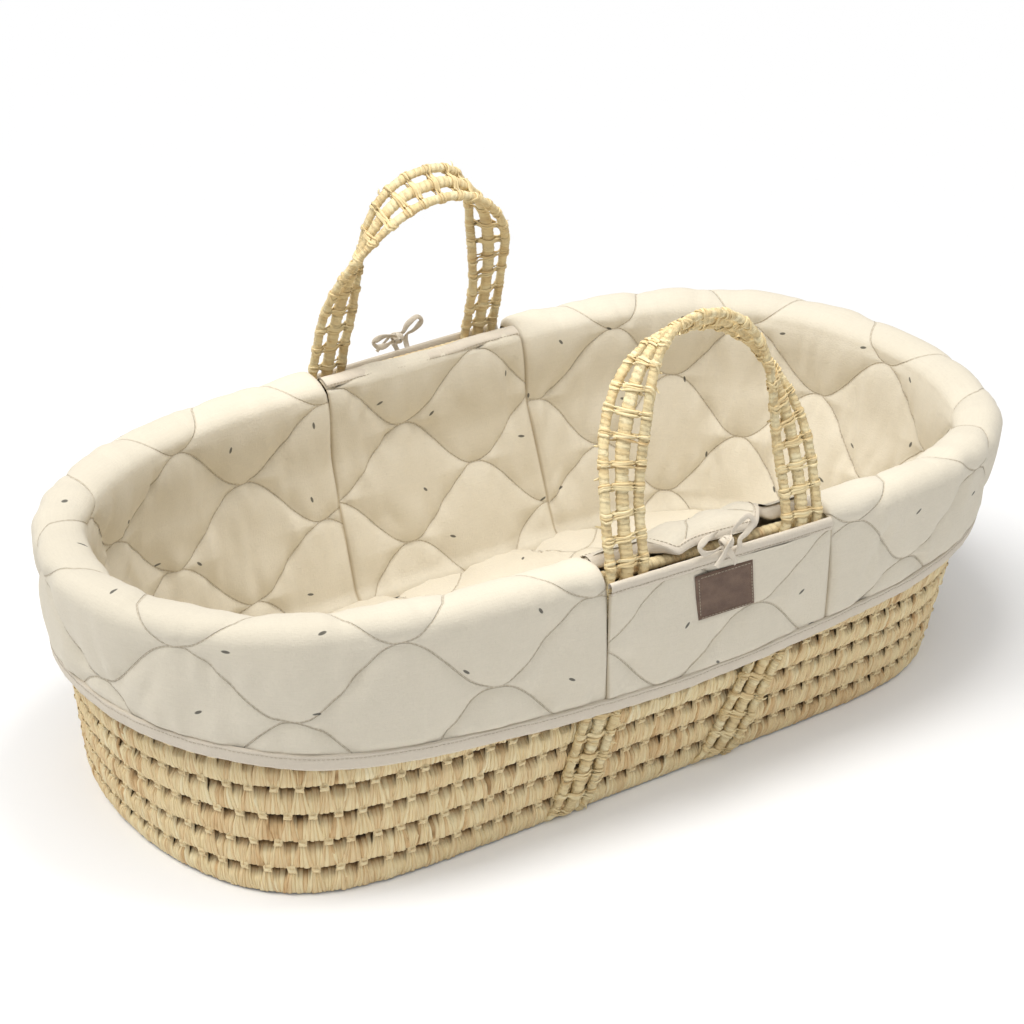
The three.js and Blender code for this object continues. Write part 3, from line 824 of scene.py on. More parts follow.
def knots_at(build, surface, knots, height, row_height, seed):
    """The small wraps that bind two rows: upright strips with a turn across them."""
    k = np.arange(len(knots))[:, None, None, None]
    strip = np.arange(2)[:, None, None]
    h = np.linspace(-1, 1, 7)[:, None]
    f = np.linspace(-1, 1, 5)
    reach = KNOT_REACH / row_height
    twist = jitter(k, seed, 21) * 1.6 * MM
    sideways = (strip - 0.5) * KNOT_SPLIT + f * KNOT_STRIP_HALF * (1 + 0.2 * h * h) + twist * h
    arc = knots[:, None, None, None] + sideways
    out = -0.9 * MM + 1.5 * MM * (1 - h * h) + 0.6 * MM * (1 - f * f) + 0.5 * MM * chance(k, strip, seed)
    grid = surface(arc, height + h * reach, out)
    coord = stacked(h * 4 * MM, f * 2 * MM, chance(k, strip, seed + 1))
    build.add(grid, coord, 0.62 + 0.3 * jitter(k, strip, seed + 2))
    tilt = jitter(k, seed, 31) * 1.1 * MM / row_height
    rise = height + f * 1.35 * MM / row_height + tilt * h
    over = 1.0 * MM + 1.3 * MM * (1 - h ** 4) - 2.6 * MM * h ** 4 + 0.35 * MM * (1 - f * f)
    grid = surface(knots[:, None, None, None] + h * KNOT_TURN_HALF, rise, over)
    coord = stacked(h * 4 * MM, f * 2 * MM, chance(k, seed, 33))
    build.add(grid, coord, 0.7 + 0.3 * jitter(k, seed, 34))


def wall_row_surface(index):
    """surface(arc, height, out) for a row of the wall."""
    def surface(arc, height, out):
        angle = angle_of(arc)
        pitch = (coil_height(angle) - COIL_RADIUS) / ROW_COUNT
        return wall(angle, np.maximum(pitch * (index + height), 0.3 * MM), out)
    return surface


def row_core(build, surface):
    """The bundle inside a row, closed all round."""
    arc = np.linspace(0, PERIMETER, 2 * CELLS, endpoint=False)[:, None]
    turn = full_turn(8)
    out = -8.2 * MM + 1.4 * MM * signed_power(np.cos(turn), 0.5)
    height = 0.5 + 0.49 * signed_power(np.sin(turn), 0.5)
    grid = surface(arc, height, out)
    coord = stacked(arc, height * CELL, 0.5)
    # tone falls to 0 at the row's top and bottom edges: painted shade in the slits between rows
    build.add(grid, coord, 1 - np.abs(2 * height - 1), wrap_u=True, wrap_v=True, slot=1)


def add_palm_rows():
    half_cell = PERIMETER / CELLS / 2
    for index in range(ROW_COUNT):
        build = Build()
        surface = wall_row_surface(index)
        fine = index < 6
        tuck = 2 * MM if index == 0 else 0
        row_core(build, surface)
        leaf_fans(build, surface, knot_arcs(index + 1), True, index * 20 + 1, half_cell, fine, tuck)
        leaf_fans(build, surface, knot_arcs(index), False, index * 20 + 2, half_cell, fine, tuck)
        if index < ROW_COUNT - 1:
            knots_at(build, surface, knot_arcs(index + 1), 1.0, TOP_HEIGHT / ROW_COUNT, index * 20 + 3)
        name = f"wall_row_0{index + 1}"
        place_piece(build, f"palm_row_0{index + 1}", [palm, palm_core], name)


def add_rim_rope():
    build = Build()
    arc = np.arange(0, PERIMETER, 1.3 * MM)[:, None]
    turn = full_turn(10)
    wraps = round(PERIMETER / ROPE_WRAP)
    phase = arc / PERIMETER * wraps + turn / TAU
    ridge = np.sin(math.pi * (phase % 1)) ** 0.6
    radius = COIL_RADIUS * (0.84 + 0.16 * ridge)
    angle = angle_of(arc)
    grid = wall(angle, coil_height(angle) + radius * np.sin(turn), -PALM_THICK / 2 + radius * np.cos(turn))
    strand = np.floor(phase)
    coord = stacked(turn * COIL_RADIUS, (phase % 1) * ROPE_WRAP, chance(strand, 4))
    build.add(grid, coord, 0.35 + 0.5 * chance(strand, 7), wrap_u=True, wrap_v=True)
    place_piece(build, "palm_rim_rope", [palm], "rim_rope")


def add_floor_mat():
    """The plaited floor: straight rows of the same weave, facing down, under a backing."""
    build = Build()
    rows = int(2 * BASE_B / CELL)
    inset = PALM_THICK + 1 * MM
    for row in range(rows):
        low = (row - rows / 2) * CELL
        edge = max(abs(low), abs(low + CELL))
        reach = BASE_A * max(1 - (edge / (BASE_B - inset)) ** BASE_Q, 0) ** (1 / BASE_P) - inset - CELL / 2
        if reach < CELL:
            continue
        count = int(2 * reach / CELL)

        def surface(arc, height, out, low=low):
            return stacked(arc + BASE_SHIFT, low + height * CELL, FLOOR_BOTTOM + 1.2 * MM - out)

        for gap, from_top in ((row + 1, True), (row, False)):
            knots = (np.arange(count) - (count - 1) / 2 + 0.5 * (gap % 2) - 0.25) * CELL
            leaf_fans(build, surface, knots, from_top, 400 + 10 * row + from_top, CELL / 2, fine=False)
            if from_top:
                knots_at(build, surface, knots, 1.0, CELL, 405 + 10 * row)
    angle = np.linspace(0, TAU, 96, endpoint=False)[:, None]
    inner = np.array([0.0, 0.5, 0.94, 1.0, 1.0, 0.5, 0.0])
    level = FLOOR_BOTTOM + np.array([3, 3, 3, 3, 7, 7, 7]) * MM
    x, y, _ = np.moveaxis(wall(angle, FLOOR_BOTTOM, -inset) * inner[:, None], -1, 0)
    build.add(stacked(x, y, level), stacked(x, y, 0.2), 0.4, wrap_u=True, slot=1)
    place_piece(build, "palm_floor", [palm, palm_core], "floor_panel")


# ---- open-work bands: straps and handles -------------------------------------------------

class Line:
    """The middle line of a band, with its width and face directions along it."""

    def __init__(self, centre, width, thick):
        self.run = run_along(centre)
        self.total = self.run[-1]
        tangent = unit(np.gradient(centre, axis=0))
        width = unit(width - tangent * np.sum(width * tangent, -1, keepdims=True))
        self.parts = np.concatenate([centre, width, np.cross(tangent, width), thick[:, None]], -1)

    def at(self, run, across, over):
        run, across, over = np.broadcast_arrays(run, across, over)
        parts = rows_at(run, self.run, self.parts)
        thick = parts[..., 9] * over
        return parts[..., :3] + parts[..., 3:6] * across[..., None] + parts[..., 6:9] * thick[..., None]


def wrapped_cord(build, line, middle, half_width, half_thick, pitch, seed):
    """A cord of the band, closely wrapped with leaf."""
    run = np.arange(0, line.total, 1.25 * MM)[:, None]
    turn = full_turn(10)
    phase = run / pitch + turn / TAU
    strand = np.floor(phase)
    ridge = np.sin(math.pi * (phase % 1)) ** 0.55
    size = 0.86 + 0.16 * ridge + 0.10 * jitter(strand, seed)
    sway = 0.5 * MM * smooth_noise(run / 0.022, seed, 17)
    grid = line.at(run, middle + sway + half_width * size * np.cos(turn), half_thick * size * np.sin(turn))
    coord = stacked(turn * half_width, (phase % 1) * pitch, chance(strand, seed, 2))
    build.add(grid, coord, 0.3 + 0.6 * chance(strand, seed, 5), wrap_v=True)


EDGE_CORD = 0.0150              # how far the two outer cords lie from the middle one
LOOP_HALF = 0.01925
# The cords of a band: middle, half width, half thickness and pitch of the wrapping.
BAND_CORDS = [
    (-EDGE_CORD, 4.2 * MM, 3.6 * MM, 4.2 * MM),
    (EDGE_CORD, 4.2 * MM, 3.6 * MM, 4.2 * MM),
    (0.0, 5.6 * MM, 4.0 * MM, 4.8 * MM),
]


def loop_height(across):
    """How high a binding loop rides over the three cords of a band."""
    from_centre = np.abs(across) / MM
    from_edge = (np.abs(across) - EDGE_CORD) / MM
    centre = 4.5 * np.exp(-(from_centre / 5.9) ** 4)
    edge = 4.0 * np.exp(-(from_edge / 4.1) ** 4)
    flat = np.maximum(np.maximum(centre, edge), 1.1)
    end = 4.1 * np.sqrt(np.clip(1 - (from_edge / 4.3) ** 2, 0, 1))
    return np.where(from_edge > 0, np.minimum(flat, end), flat) * MM


def binding_loops(build, line, start, end, seed):
    """Loops that bind the three cords at each tie, slanting across the band."""
    ties = round((end - start) / TIE_PITCH)
    turn = full_turn(44)
    for tie in range(ties + 1):
        place = lerp(start, end, tie / ties) + jitter(tie, seed) * 3 * MM
        for strand, shift in enumerate(TIE_SHIFTS):
            across = LOOP_HALF * np.cos(turn)
            over = np.sign(np.sin(turn)) * loop_height(across)
            slant = 7.5 * jitter(tie, strand, seed) * MM
            run = place + shift + slant * across / LOOP_HALF * np.sign(np.sin(turn) + 0.01) * 0.9
            run = run + 0.6 * MM * np.sin(2 * turn + 6 * chance(tie, strand, seed, 4))
            run = np.convolve(np.concatenate([run[-2:], run, run[:2]]), np.ones(5) / 5, "valid")
            run = np.clip(run, 0, line.total)
            path = line.at(run, across, over)
            normals = path - line.at(run, across * 0.82, over * 0.1)
            width = (1.15 + 0.5 * jitter(tie, strand, seed, 6)) * MM
            tone = 0.5 + 0.5 * (chance(tie, strand, seed, 8) - 0.4)
            tube(build, path, normals, width, 0.6 * MM, tone, chance(tie, strand, seed, 9), closed=True)


def leaf_ends(build, line, start, end, every, seed):
    """Loose cut ends of leaf that stand out from the bindings."""
    for k in range(int((end - start) / every)):
        run = start + (k + chance(k, seed)) * every
        side = 1 if chance(k, seed, 2) > 0.5 else -1
        foot = side * (12 + 6 * chance(k, seed, 3)) * MM
        reach = (3.5 + 4.5 * chance(k, seed, 4)) * MM
        lean = jitter(k, seed, 5) * 9 * MM
        t = np.linspace(0, 1, 6)
        across = foot + side * reach * 0.7 * t
        over = 3.0 * MM + 2.0 * MM * np.sin(2.4 * t) * chance(k, seed, 6)
        path = line.at(np.clip(run + lean * t, 0, line.total), across, over)
        normals = path - line.at(run, across, 0)
        tube(build, path, normals, 1.2 * MM * (1 - 0.6 * t), 0.25 * MM, 0.75, chance(k, seed, 7), sides=6)


def open_band(build, line, start, end, seed):
    for k, (middle, half_width, half_thick, pitch) in enumerate(BAND_CORDS):
        wrapped_cord(build, line, middle, half_width, half_thick, pitch, seed + k)
    binding_loops(build, line, start, end, seed + 3)


def strap_wall_points(index, side, heights):
    angle = angle_at(strap_x(index, heights), heights, side)
    drawn_in = 3.4 * MM * (1 - smoothstep(heights, 0, 0.03))
    return wall(angle, heights, STRAP_OUT - drawn_in)


STRAP_JOIN = 0.022              # the handle piece starts this far under its hinge
TAIL_POINTS = 16                # in that stretch, on each leg


def add_strap(index, name):
    """A strap from one wall, under the base and up the other wall."""
    top = hinge_height(LEG_X[index]) - STRAP_JOIN + 3 * MM
    heights = np.linspace(top, 12 * MM, 60)
    flat = 2.7 * MM
    turned = []
    for side in (-1, 1):
        x, y, _ = strap_wall_points(index, side, np.array([0.0]))[0]
        corner = [[x, y, 5.5 * MM], [x, y - side * 5 * MM, flat], [x, y - side * 16 * MM, flat]]
        turned.append(np.concatenate([strap_wall_points(index, side, heights), corner]))
    under_base = lerp(turned[0][-1], turned[1][-1], np.linspace(0, 1, 34)[1:-1, None])
    centre = smooth_path(np.concatenate([turned[0], under_base, turned[1][::-1]]), 900)
    under_skirt = centre[:, 2] > HEM_LOW
    near_base = centre[:, 2] < 14 * MM
    thick = np.where(near_base, 0.62, np.where(under_skirt, 0.7, 0.95))
    thick = np.convolve(np.pad(thick, 12, mode="edge"), np.ones(25) / 25, "valid")
    centre[:, 2] = np.maximum(centre[:, 2], flat)
    width = np.broadcast_to([1.0, 0, 0], centre.shape)
    line = Line(centre, width, thick)
    build = Build()
    open_band(build, line, 4 * MM, line.total - 4 * MM, 60 + 9 * index)
    leaf_ends(build, line, top - HEM_LOW, top, 6 * MM, 75 + index)
    leaf_ends(build, line, line.total - top, line.total - top + HEM_LOW, 6 * MM, 85 + index)
    build.rest_on_floor()
    place_piece(build, f"palm_{name}", [handle_palm], name)


def leg_foot(index, side):
    z = hinge_height(LEG_X[index])
    return wall(angle_at(LEG_X[index], z, side), z, HINGE_OUT)


def handle_frame(side):
    """The arch's own frame, as in the CAD: along from leg to leg, up in the leaning plane."""
    left, right = leg_foot(0, side), leg_foot(1, side)
    along = unit(right - left)
    level = np.array([0.0, side, 0.0])
    level = unit(level - along * np.dot(level, along))
    upright = np.array([0.0, 0.0, 1.0])
    upright = unit(upright - along * np.dot(upright, along))
    up = upright * math.cos(HANDLE_LEAN) - level * math.sin(HANDLE_LEAN)
    out = level * math.cos(HANDLE_LEAN) + upright * math.sin(HANDLE_LEAN)
    return (left + right) / 2, along, up, out, np.linalg.norm(right - left) / 2


def handle_line(side):
    """The arch with a short tail of band under each hinge."""
    centre, along, up, out, half = handle_frame(side)
    turn = np.linspace(math.pi, 0, 1200)
    power = 2 / HANDLE_POWER
    x = half * signed_power(np.cos(turn), power)
    y = HANDLE_REACH * np.abs(np.sin(turn)) ** power
    curve = np.stack([x, y], -1)
    run = run_along(curve)
    even = np.linspace(0, run[-1], 420)
    curve = rows_at(even, run, curve)
    heading = unit(np.gradient(curve, axis=0))
    twist = HANDLE_TWIST * smoothstep(1 - np.abs(even / run[-1] - 0.5) * 2, 0.2, 1)
    inward = along * heading[:, 1:] - up * heading[:, :1]
    width = inward * np.cos(twist)[:, None] + out * np.sin(twist)[:, None]
    arch = centre + along * curve[:, :1] + up * curve[:, 1:]
    tails = []
    for index in (0, 1):
        hinge = hinge_height(LEG_X[index])
        heights = np.linspace(hinge - STRAP_JOIN, hinge - 5 * MM, TAIL_POINTS)
        tails.append(strap_wall_points(index, side, heights))
    line = np.concatenate([tails[0], arch, tails[1][::-1]])
    tail_width = np.tile(along, (TAIL_POINTS, 1))
    widths = np.concatenate([tail_width, width, -tail_width])
    kernel = np.ones(9) / 9
    for k in range(3):
        line[4:-4, k] = np.convolve(line[:, k], kernel, "valid")
        widths[4:-4, k] = np.convolve(widths[:, k], kernel, "valid")
    return Line(line, widths, np.ones(len(line)))


def add_handle(name, side):
    line = handle_line(side)
    build = Build()
    open_band(build, line, 6 * MM, line.total - 6 * MM, 120 + 7 * side)
    leaf_ends(build, line, STRAP_JOIN, line.total - STRAP_JOIN, 24 * MM, 140 + side)
    handle = place_piece(build, f"palm_{name}", [handle_palm], name, body=None)
    foot = (leg_foot(0, side) + leg_foot(1, side)) / 2
    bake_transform(handle)


# ---- quilted liner -----------------------------------------------------------------------

HEM_TUCK = HEM_TAPE * 0.45                  # how far the cloth's edge lies above the hem's
FLAP_CLOTH_OUT = SKIRT_OUTSIDE - 0.8 * MM
LINER_FOOT = LINER_BOTTOM - 5 * MM
ROLL_QUARTER = ROLL_RADIUS * math.pi / 2    # a quarter of the way around the roll


def quilt_distance(x, y):
    """Distance to the nearest quilting line. Lines are waves along x, a space apart in y."""
    turn = x * TAU / WAVE_PERIOD
    wave = np.cos(turn) * WAVE_SPACE / 2
    slope = np.sin(turn) * math.pi * WAVE_SPACE / WAVE_PERIOD
    even = np.abs((y - wave + WAVE_SPACE) % (2 * WAVE_SPACE) - WAVE_SPACE)
    odd = np.abs((y + wave) % (2 * WAVE_SPACE) - WAVE_SPACE)
    return np.minimum(even, odd) / np.sqrt(1 + slope * slope)


def cloth_relief(x, y, seed, drag):
    """Height of the quilted cloth: puffs between the lines, puckers beside them and long
    soft folds that hang from the rim, where y is 0 and the cloth is stretched smooth. drag
    scales the folds."""
    distance = quilt_distance(x, y)
    puff = PUFF * (1 - np.exp(-distance / PUFF_REACH)) - 0.4 * PUFF
    crease = CREASE * np.exp(-distance / 0.0022)
    near = np.exp(-distance / 0.026)
    bend = 0.9 * smooth_noise(x / 0.06, y / 0.05, seed + 2)
    pucker = 2.1 * MM * near * smooth_noise(x / 0.0095 + bend, y / 0.024, seed)
    folds = smooth_noise(x / 0.019 + bend, y / 0.075, seed + 1)
    ripples = smooth_noise(x / 0.011 - bend, y / 0.045, seed + 4)
    sags = smooth_noise(x / 0.07, y / 0.06, seed + 3)
    hanging = drag * MM * (1.9 * folds + 1.3 * ripples)
    on_roll = np.exp(-(y / 0.034) ** 2)
    return (puff - crease + pucker + hanging + 1.4 * MM * sags) * (1 - 0.6 * on_roll)


def raised(grid, coord, seed, drag, edge, facing, fold=0):
    """The cloth's grid with its relief. edge is the distance to the nearest sewn place, and
    fold is how far the cloth is turned in at its open edges."""
    normals = grid_normals(grid) * facing
    relief = cloth_relief(coord[..., 0], coord[..., 1], seed, drag)
    tucked = (1 - np.clip(edge / (9 * MM), 0, 1)) ** 2
    height = relief * (1 - tucked) - 1.8 * MM * tucked - fold
    return grid + normals * height[..., None]


def seam_furrow_shade(share, width):
    """0 in the furrow of the seams at both sides of a panel and 1 away from them; where it is 0 the cloth
    is painted darker, as shade.
    """
    return smoothstep(np.minimum(share, 1 - share) * width, 0.3 * MM, 2.4 * MM)


def end_section(angle):
    """Out, height and cloth place of the end liner at each angle: from the hem up the outside,
    over the rim and down the inside."""
    centre = coil_height(angle)[:, None]
    edge = hem_height(angle)[:, None] + HEM_TUCK
    up = np.linspace(0, 1, 46, endpoint=False)
    over = np.linspace(0, math.pi, 20, endpoint=False)
    outside = (
        lerp(SKIRT_OUTSIDE, ROLL_RADIUS - PALM_THICK / 2, up ** 2),
        lerp(edge, centre, up),
        -ROLL_QUARTER - (centre - edge) * (1 - up),
    )
    inside = inside_section(centre, np.linspace(0, 1, 86))
    return joined(outside, roll_section(centre, over), inside)


def joined(*sections):
    """One section of (out, height, cloth place) out of several, each broadcast to a grid."""
    return np.concatenate([np.stack(np.broadcast_arrays(*section)) for section in sections], -1)


def roll_section(centre, turn):
    """Section over the roll, where turn runs from 0 on the outside to pi on the inside."""
    return roll_out(turn), centre + ROLL_RADIUS * np.sin(turn), ROLL_RADIUS * (turn - math.pi / 2)


def inside_section(centre, down):
    """Section of the inside wall, where down runs from 0 under the roll to 1 at the foot."""
    z = lerp(centre, LINER_FOOT, down)
    return inside_out(centre, z), z, ROLL_QUARTER + centre - z


def roll_out(turn):
    """How far out the roll's surface stands, from 0 on the outside to pi on the inside."""
    reach = ROLL_RADIUS + ROLL_BULGE * (np.cos(turn) < 0)
    return -PALM_THICK / 2 + reach * np.cos(turn)


def inside_out(centre, z):
    """Where the liner's inside face stands: under the roll, down the wall, and rounded into
    the base."""
    roll = (2.1 * MM + ROLL_BULGE) * smoothstep(z, centre - 0.075, centre)
    foot = 5 * MM * (1 - np.clip((z - LINER_BOTTOM) / 0.012, 0, 1)) ** 2
    return INSIDE_FACE - roll - foot


def seam_bounds(z, end):
    """Direction angles of the two seams that bound an end liner, at each height."""
    index = 0 if end < 0 else 1
    near = angle_at(seam_x(index, z), z, -1)
    far = angle_at(seam_x(index, z), z, 1)
    if end < 0:
        return far, near + TAU
    return near, far


def add_end_liner(end, name):
    rough_low, rough_high = seam_bounds(np.array([0.15]), end)
    length = float((arc_of(rough_high) - arc_of(rough_low))[0])
    count = round(length / CLOTH_STEP)
    share = np.linspace(0, 1, count)[:, None]
    guess = angle_of(lerp(arc_of(rough_low), arc_of(rough_high), share[:, 0]))
    out, z, y = end_section(guess)
    low, high = seam_bounds(z, end)
    arc = lerp(arc_of(low), arc_of(high), share)
    angle = angle_of(arc)
    grid = wall(angle, z, out)
    edge = np.minimum(np.minimum(share, 1 - share) * length, y - y[:, :1] - 0.5 * HEM_TAPE)
    coord = stacked(arc, y, 0.31 + 0.2 * end)
    shelter = smoothstep(y, 0.02, 0.12) if end < 0 else 0.45 * smoothstep(y, 0.02, 0.12)
    drag = 0.75 + 0.8 * shelter + 0.6 * smoothstep(-y, 0.09, 0.13)
    fold = 6 * MM * (share * (1 - share) == 0) * np.exp(-(y / 0.02) ** 2)
    grid = raised(grid, coord, 200 + end, drag, edge, facing_out(grid, angle), fold)
    build = Build()
    build.add(grid, coord, seam_furrow_shade(share, length))
    piece = place_piece(build, f"quilt_{name}_end", [cotton], f"liner_{name}_end")


def facing_out(grid, angle):
    """1 where the grid's normals point out of the basket near its first edge, and otherwise -1."""
    return 1.0 if np.sum(grid_normals(grid)[:, 5] * outward(angle[:, 5])) > 0 else -1.0


def slot_x(share, z):
    return lerp(seam_x(0, z), seam_x(1, z), share)


def near_slack(x):
    """1 where the near inner panel is slack, between the handle's legs, and 0 beside them."""
    return smoothstep(x, -0.045, 0) * (1 - smoothstep(x, 0.060, 0.080))


def lap_angle(x, side):
    """How far over the rim the inner panel reaches, in degrees. The slack near one falls
    further over the rim than the CAD's, down to the rope."""
    between = 14 if side < 0 else 126
    clear_left = LEG_X[0] + BAND_WIDTH / 2 + 0.005
    clear_right = LEG_X[1] - BAND_WIDTH / 2 - 0.005
    past_left = smoothstep(x, clear_left, clear_left + 0.024)
    before_right = 1 - smoothstep(x, clear_right - 0.024, clear_right)
    return lerp(120, between, past_left * before_right)


def slot_grid(side, share, z, out):
    angle = angle_at(slot_x(share, z), z, side)
    return wall(angle, z, out), angle


def add_inner_panel(side, name):
    """The panel inside the basket between the two seams of a handle slot."""
    share = np.linspace(0, 1, round(SLOT_WIDTH / CLOTH_STEP))[:, None]
    x = slot_x(share[:, 0], TOP_HEIGHT)
    centre = coil_height_at(x)[:, None]
    last = np.radians(lap_angle(x, side))[:, None]
    inside = inside_section(centre, np.linspace(1, 0, 86, endpoint=False))
    roll = roll_section(centre, lerp(math.pi, last, np.linspace(0, 1, 18)))
    out, z, y = joined(inside, roll)
    if side < 0:
        lifted = near_slack(x)[:, None] * smoothstep(z, centre - 0.045, centre)
        out, z = out - SLACK_IN * lifted, z + SLACK_UP * lifted
    grid, angle = slot_grid(side, share, z, out)
    edge = np.minimum(share, 1 - share) * SLOT_WIDTH
    coord = stacked(slot_x(share, z) + 0.055 * side + 0.03, y + 0.012, 0.8 + 0.1 * side)
    grid = raised(grid, coord, 230 + side, 0.8, edge, -facing_out(grid, angle))
    build = Build()
    build.add(grid, coord, seam_furrow_shade(share, SLOT_WIDTH))
    piece = place_piece(build, f"quilt_{name}_inner", [cotton], f"liner_{name}_inner")


def beyond_label(x, z):
    """How far outside the label a point of the near flap is, at least a little."""
    middle = LABEL_X + LABEL_SHEAR * (z - LABEL_Z)
    return np.maximum(np.abs(x - middle) - LABEL_WIDTH / 2, np.abs(z - LABEL_Z) - LABEL_HEIGHT / 2) + 5 * MM


def add_flap(side, name):
    """The outer flap that hangs over the wall in front of the handle's legs."""
    share = np.linspace(0, 1, round(SLOT_WIDTH / CLOTH_STEP))[:, None]
    x = slot_x(share, TOP_HEIGHT)
    hem_angle = angle_at(slot_x(share, HEM_LOW), HEM_LOW, side)
    bottom = hem_height(hem_angle) + HEM_TUCK
    top = flap_top(x) - FLAP_TAPE + 2 * MM
    z = lerp(bottom, top, np.linspace(0, 1, 48))
    grid, angle = slot_grid(side, share, z, FLAP_CLOTH_OUT)
    edge = np.minimum(np.minimum(share, 1 - share) * SLOT_WIDTH, z - bottom - 0.5 * HEM_TAPE)
    edge = np.minimum(edge, top - z + 4 * MM)
    if side < 0:
        edge = np.minimum(edge, beyond_label(slot_x(share, z), z))
    coord = stacked(slot_x(share, z) + 0.02, z - coil_height_at(x) - 0.03 * side, 0.5 + 0.1 * side)
    drag = 0.5 + 0.7 * smoothstep(bottom + 0.03 - z, 0, 0.03)
    grid = raised(grid, coord, 240 + side, drag, edge, facing_out(grid, angle)) + outward(angle) * 1.2 * MM
    build = Build()
    build.add(grid, coord, seam_furrow_shade(share, SLOT_WIDTH))
    piece = place_piece(build, f"quilt_{name}_flap", [cotton], f"liner_{name}_flap")


def add_liner_base():
    """The quilted bottom of the liner, with soft puffs, over the palm floor."""
    build = Build()
    angle = np.linspace(0, TAU, 300, endpoint=False)[:, None]
    inner = np.linspace(0.02, 1, 70)
    x, y, _ = np.moveaxis(wall(angle, LINER_BOTTOM, -PALM_THICK - 3 * MM) * inner[:, None], -1, 0)
    relief = cloth_relief(x, y, 260, 0.2) * (1 - (1 - np.clip((1 - inner) / 0.04, 0, 1)) ** 2)
    grid = stacked(x, y, LINER_BOTTOM - 1.2 * MM + relief)
    build.add(grid, stacked(x, y, 0.9), 1.0, wrap_u=True)
    centre = np.concatenate([grid[:, :1] * [0.0, 0.0, 1.0], grid[:, :1]], 1)
    build.add(centre, stacked(centre[..., 0], centre[..., 1], 0.9), 1.0, wrap_u=True)
    piece = place_piece(build, "quilt_base", [cotton], "liner_base")


# ---- tapes and stitches ------------------------------------------------------------------

# Sections of the folded tapes, [out from the wall, up from the edge] in millimetres.
HEM_PROFILE = [
    [6.4, 13.0], [6.3, 8.0], [6.4, 3.0], [7.6, 0.6], [9.6, 0.0], [11.6, 0.7], [12.6, 3.0],
    [12.4, 4.6], [12.7, 6.4], [12.5, 9.0], [12.0, 10.6], [12.2, 11.8], [11.7, 13.0], [9.4, 13.4],
]
FLAP_PROFILE = [
    [7.0, -11.0], [7.0, -5.0], [7.4, -1.0], [8.6, 0.4], [9.9, 0.5], [11.2, -0.6], [11.9, -2.6],
    [12.0, -5.0], [11.6, -7.4], [11.9, -8.6], [11.6, -10.4], [10.4, -11.4],
]
# The same for the tape over the rim: degrees past the cloth's edge and millimetres from the
# roll's middle.
RIM_TAPE_TURN = np.array([34, 26, 17, 8, 1, -4, -6, -4, 2, 10, 20])
RIM_TAPE_RADIUS = np.array([13.6, 14.8, 14.9, 15.0, 14.4, 12.0, 9.0, 7.0, 6.0, 5.7, 5.7]) * MM
TAPE_SHARE = np.linspace(0.004, 0.996, 110)[:, None]      # places along a slot's tape


def stitch_row(build, points, facing, length=2.4 * MM, gap=1.1 * MM, radius=0.28 * MM):
    """Thread stitches along a line of points. facing holds the directions that they face."""
    run = run_along(points)
    count = int(run[-1] / (length + gap))
    start = np.arange(count)[:, None] * (length + gap)
    t = np.linspace(0, 1, 5)[None, :]
    at = start + t * length
    middle = rows_at(at, run, points)
    away = unit(rows_at(at, run, facing))
    middle = middle + away * (np.sin(math.pi * t) * radius * 1.2)[..., None]
    tangent = unit(np.gradient(middle, axis=1))
    across = np.cross(tangent, away)
    turn = full_turn(5)
    ring = across[:, :, None] * np.cos(turn)[:, None] + away[:, :, None] * np.sin(turn)[:, None]
    grid = middle[:, :, None] + ring * radius
    coord = stacked(at[..., None], turn * radius, 0.3)
    build.add(grid, coord, 0.5, wrap_v=True, slot=1)


def tape_ring(build, angle, section, seed, wrap, ripple=0.5 * MM):
    """A tape whose section (out, height) follows the wall; ripple puckers it along its length."""
    out, z = section
    arc = arc_of(angle)
    fine = smooth_noise(arc / 0.006, z / 0.02, seed)
    coarse = smooth_noise(arc / 0.015, z / 0.03, seed + 1)
    grid = wall(angle, z, out + ripple * (fine + 0.6 * coarse))
    coord = stacked(arc, z, 0.1 * (seed % 7))
    build.add(grid, coord, 0.5, wrap_u=wrap)
    return grid


def add_hem():
    """The bound hem: a folded tape around the skirt with a row of stitching."""
    build = Build()
    arc = np.arange(0, PERIMETER, 2.2 * MM)
    angle = angle_of(arc)[:, None]
    bottom = hem_height(angle)
    out, rise = np.transpose(HEM_PROFILE) * MM
    wobble = 0.8 * MM * smooth_noise(arc / 0.05, 0, 301)[:, None]
    section = (out, bottom + rise + wobble)
    grid = tape_ring(build, angle, section, 303, True)
    away = outward(angle[:, 0])
    stitch_row(build, grid[:, 10] + away * 0.2 * MM, away, radius=0.22 * MM)
    place_piece(build, "hem_tape", [tape, thread], "hem_binding")


def add_elastic():
    build = Build()
    arc = np.arange(0, PERIMETER, 3 * MM)
    angle = angle_of(arc)[:, None]
    turn = full_turn(8)
    rib = 1 + 0.12 * np.sin(arc[:, None] / (1.5 * MM))
    out = 9.2 * MM + 1.3 * MM * np.cos(turn) * rib
    z = hem_height(angle) + 3.8 * MM + 1.9 * MM * np.sin(turn) * rib
    grid = wall(angle, z, out)
    build.add(grid, stacked(arc[:, None], z, 0.2), 0.5, wrap_u=True, wrap_v=True)
    place_piece(build, "elastic_cord", [elastic], "hem_elastic")


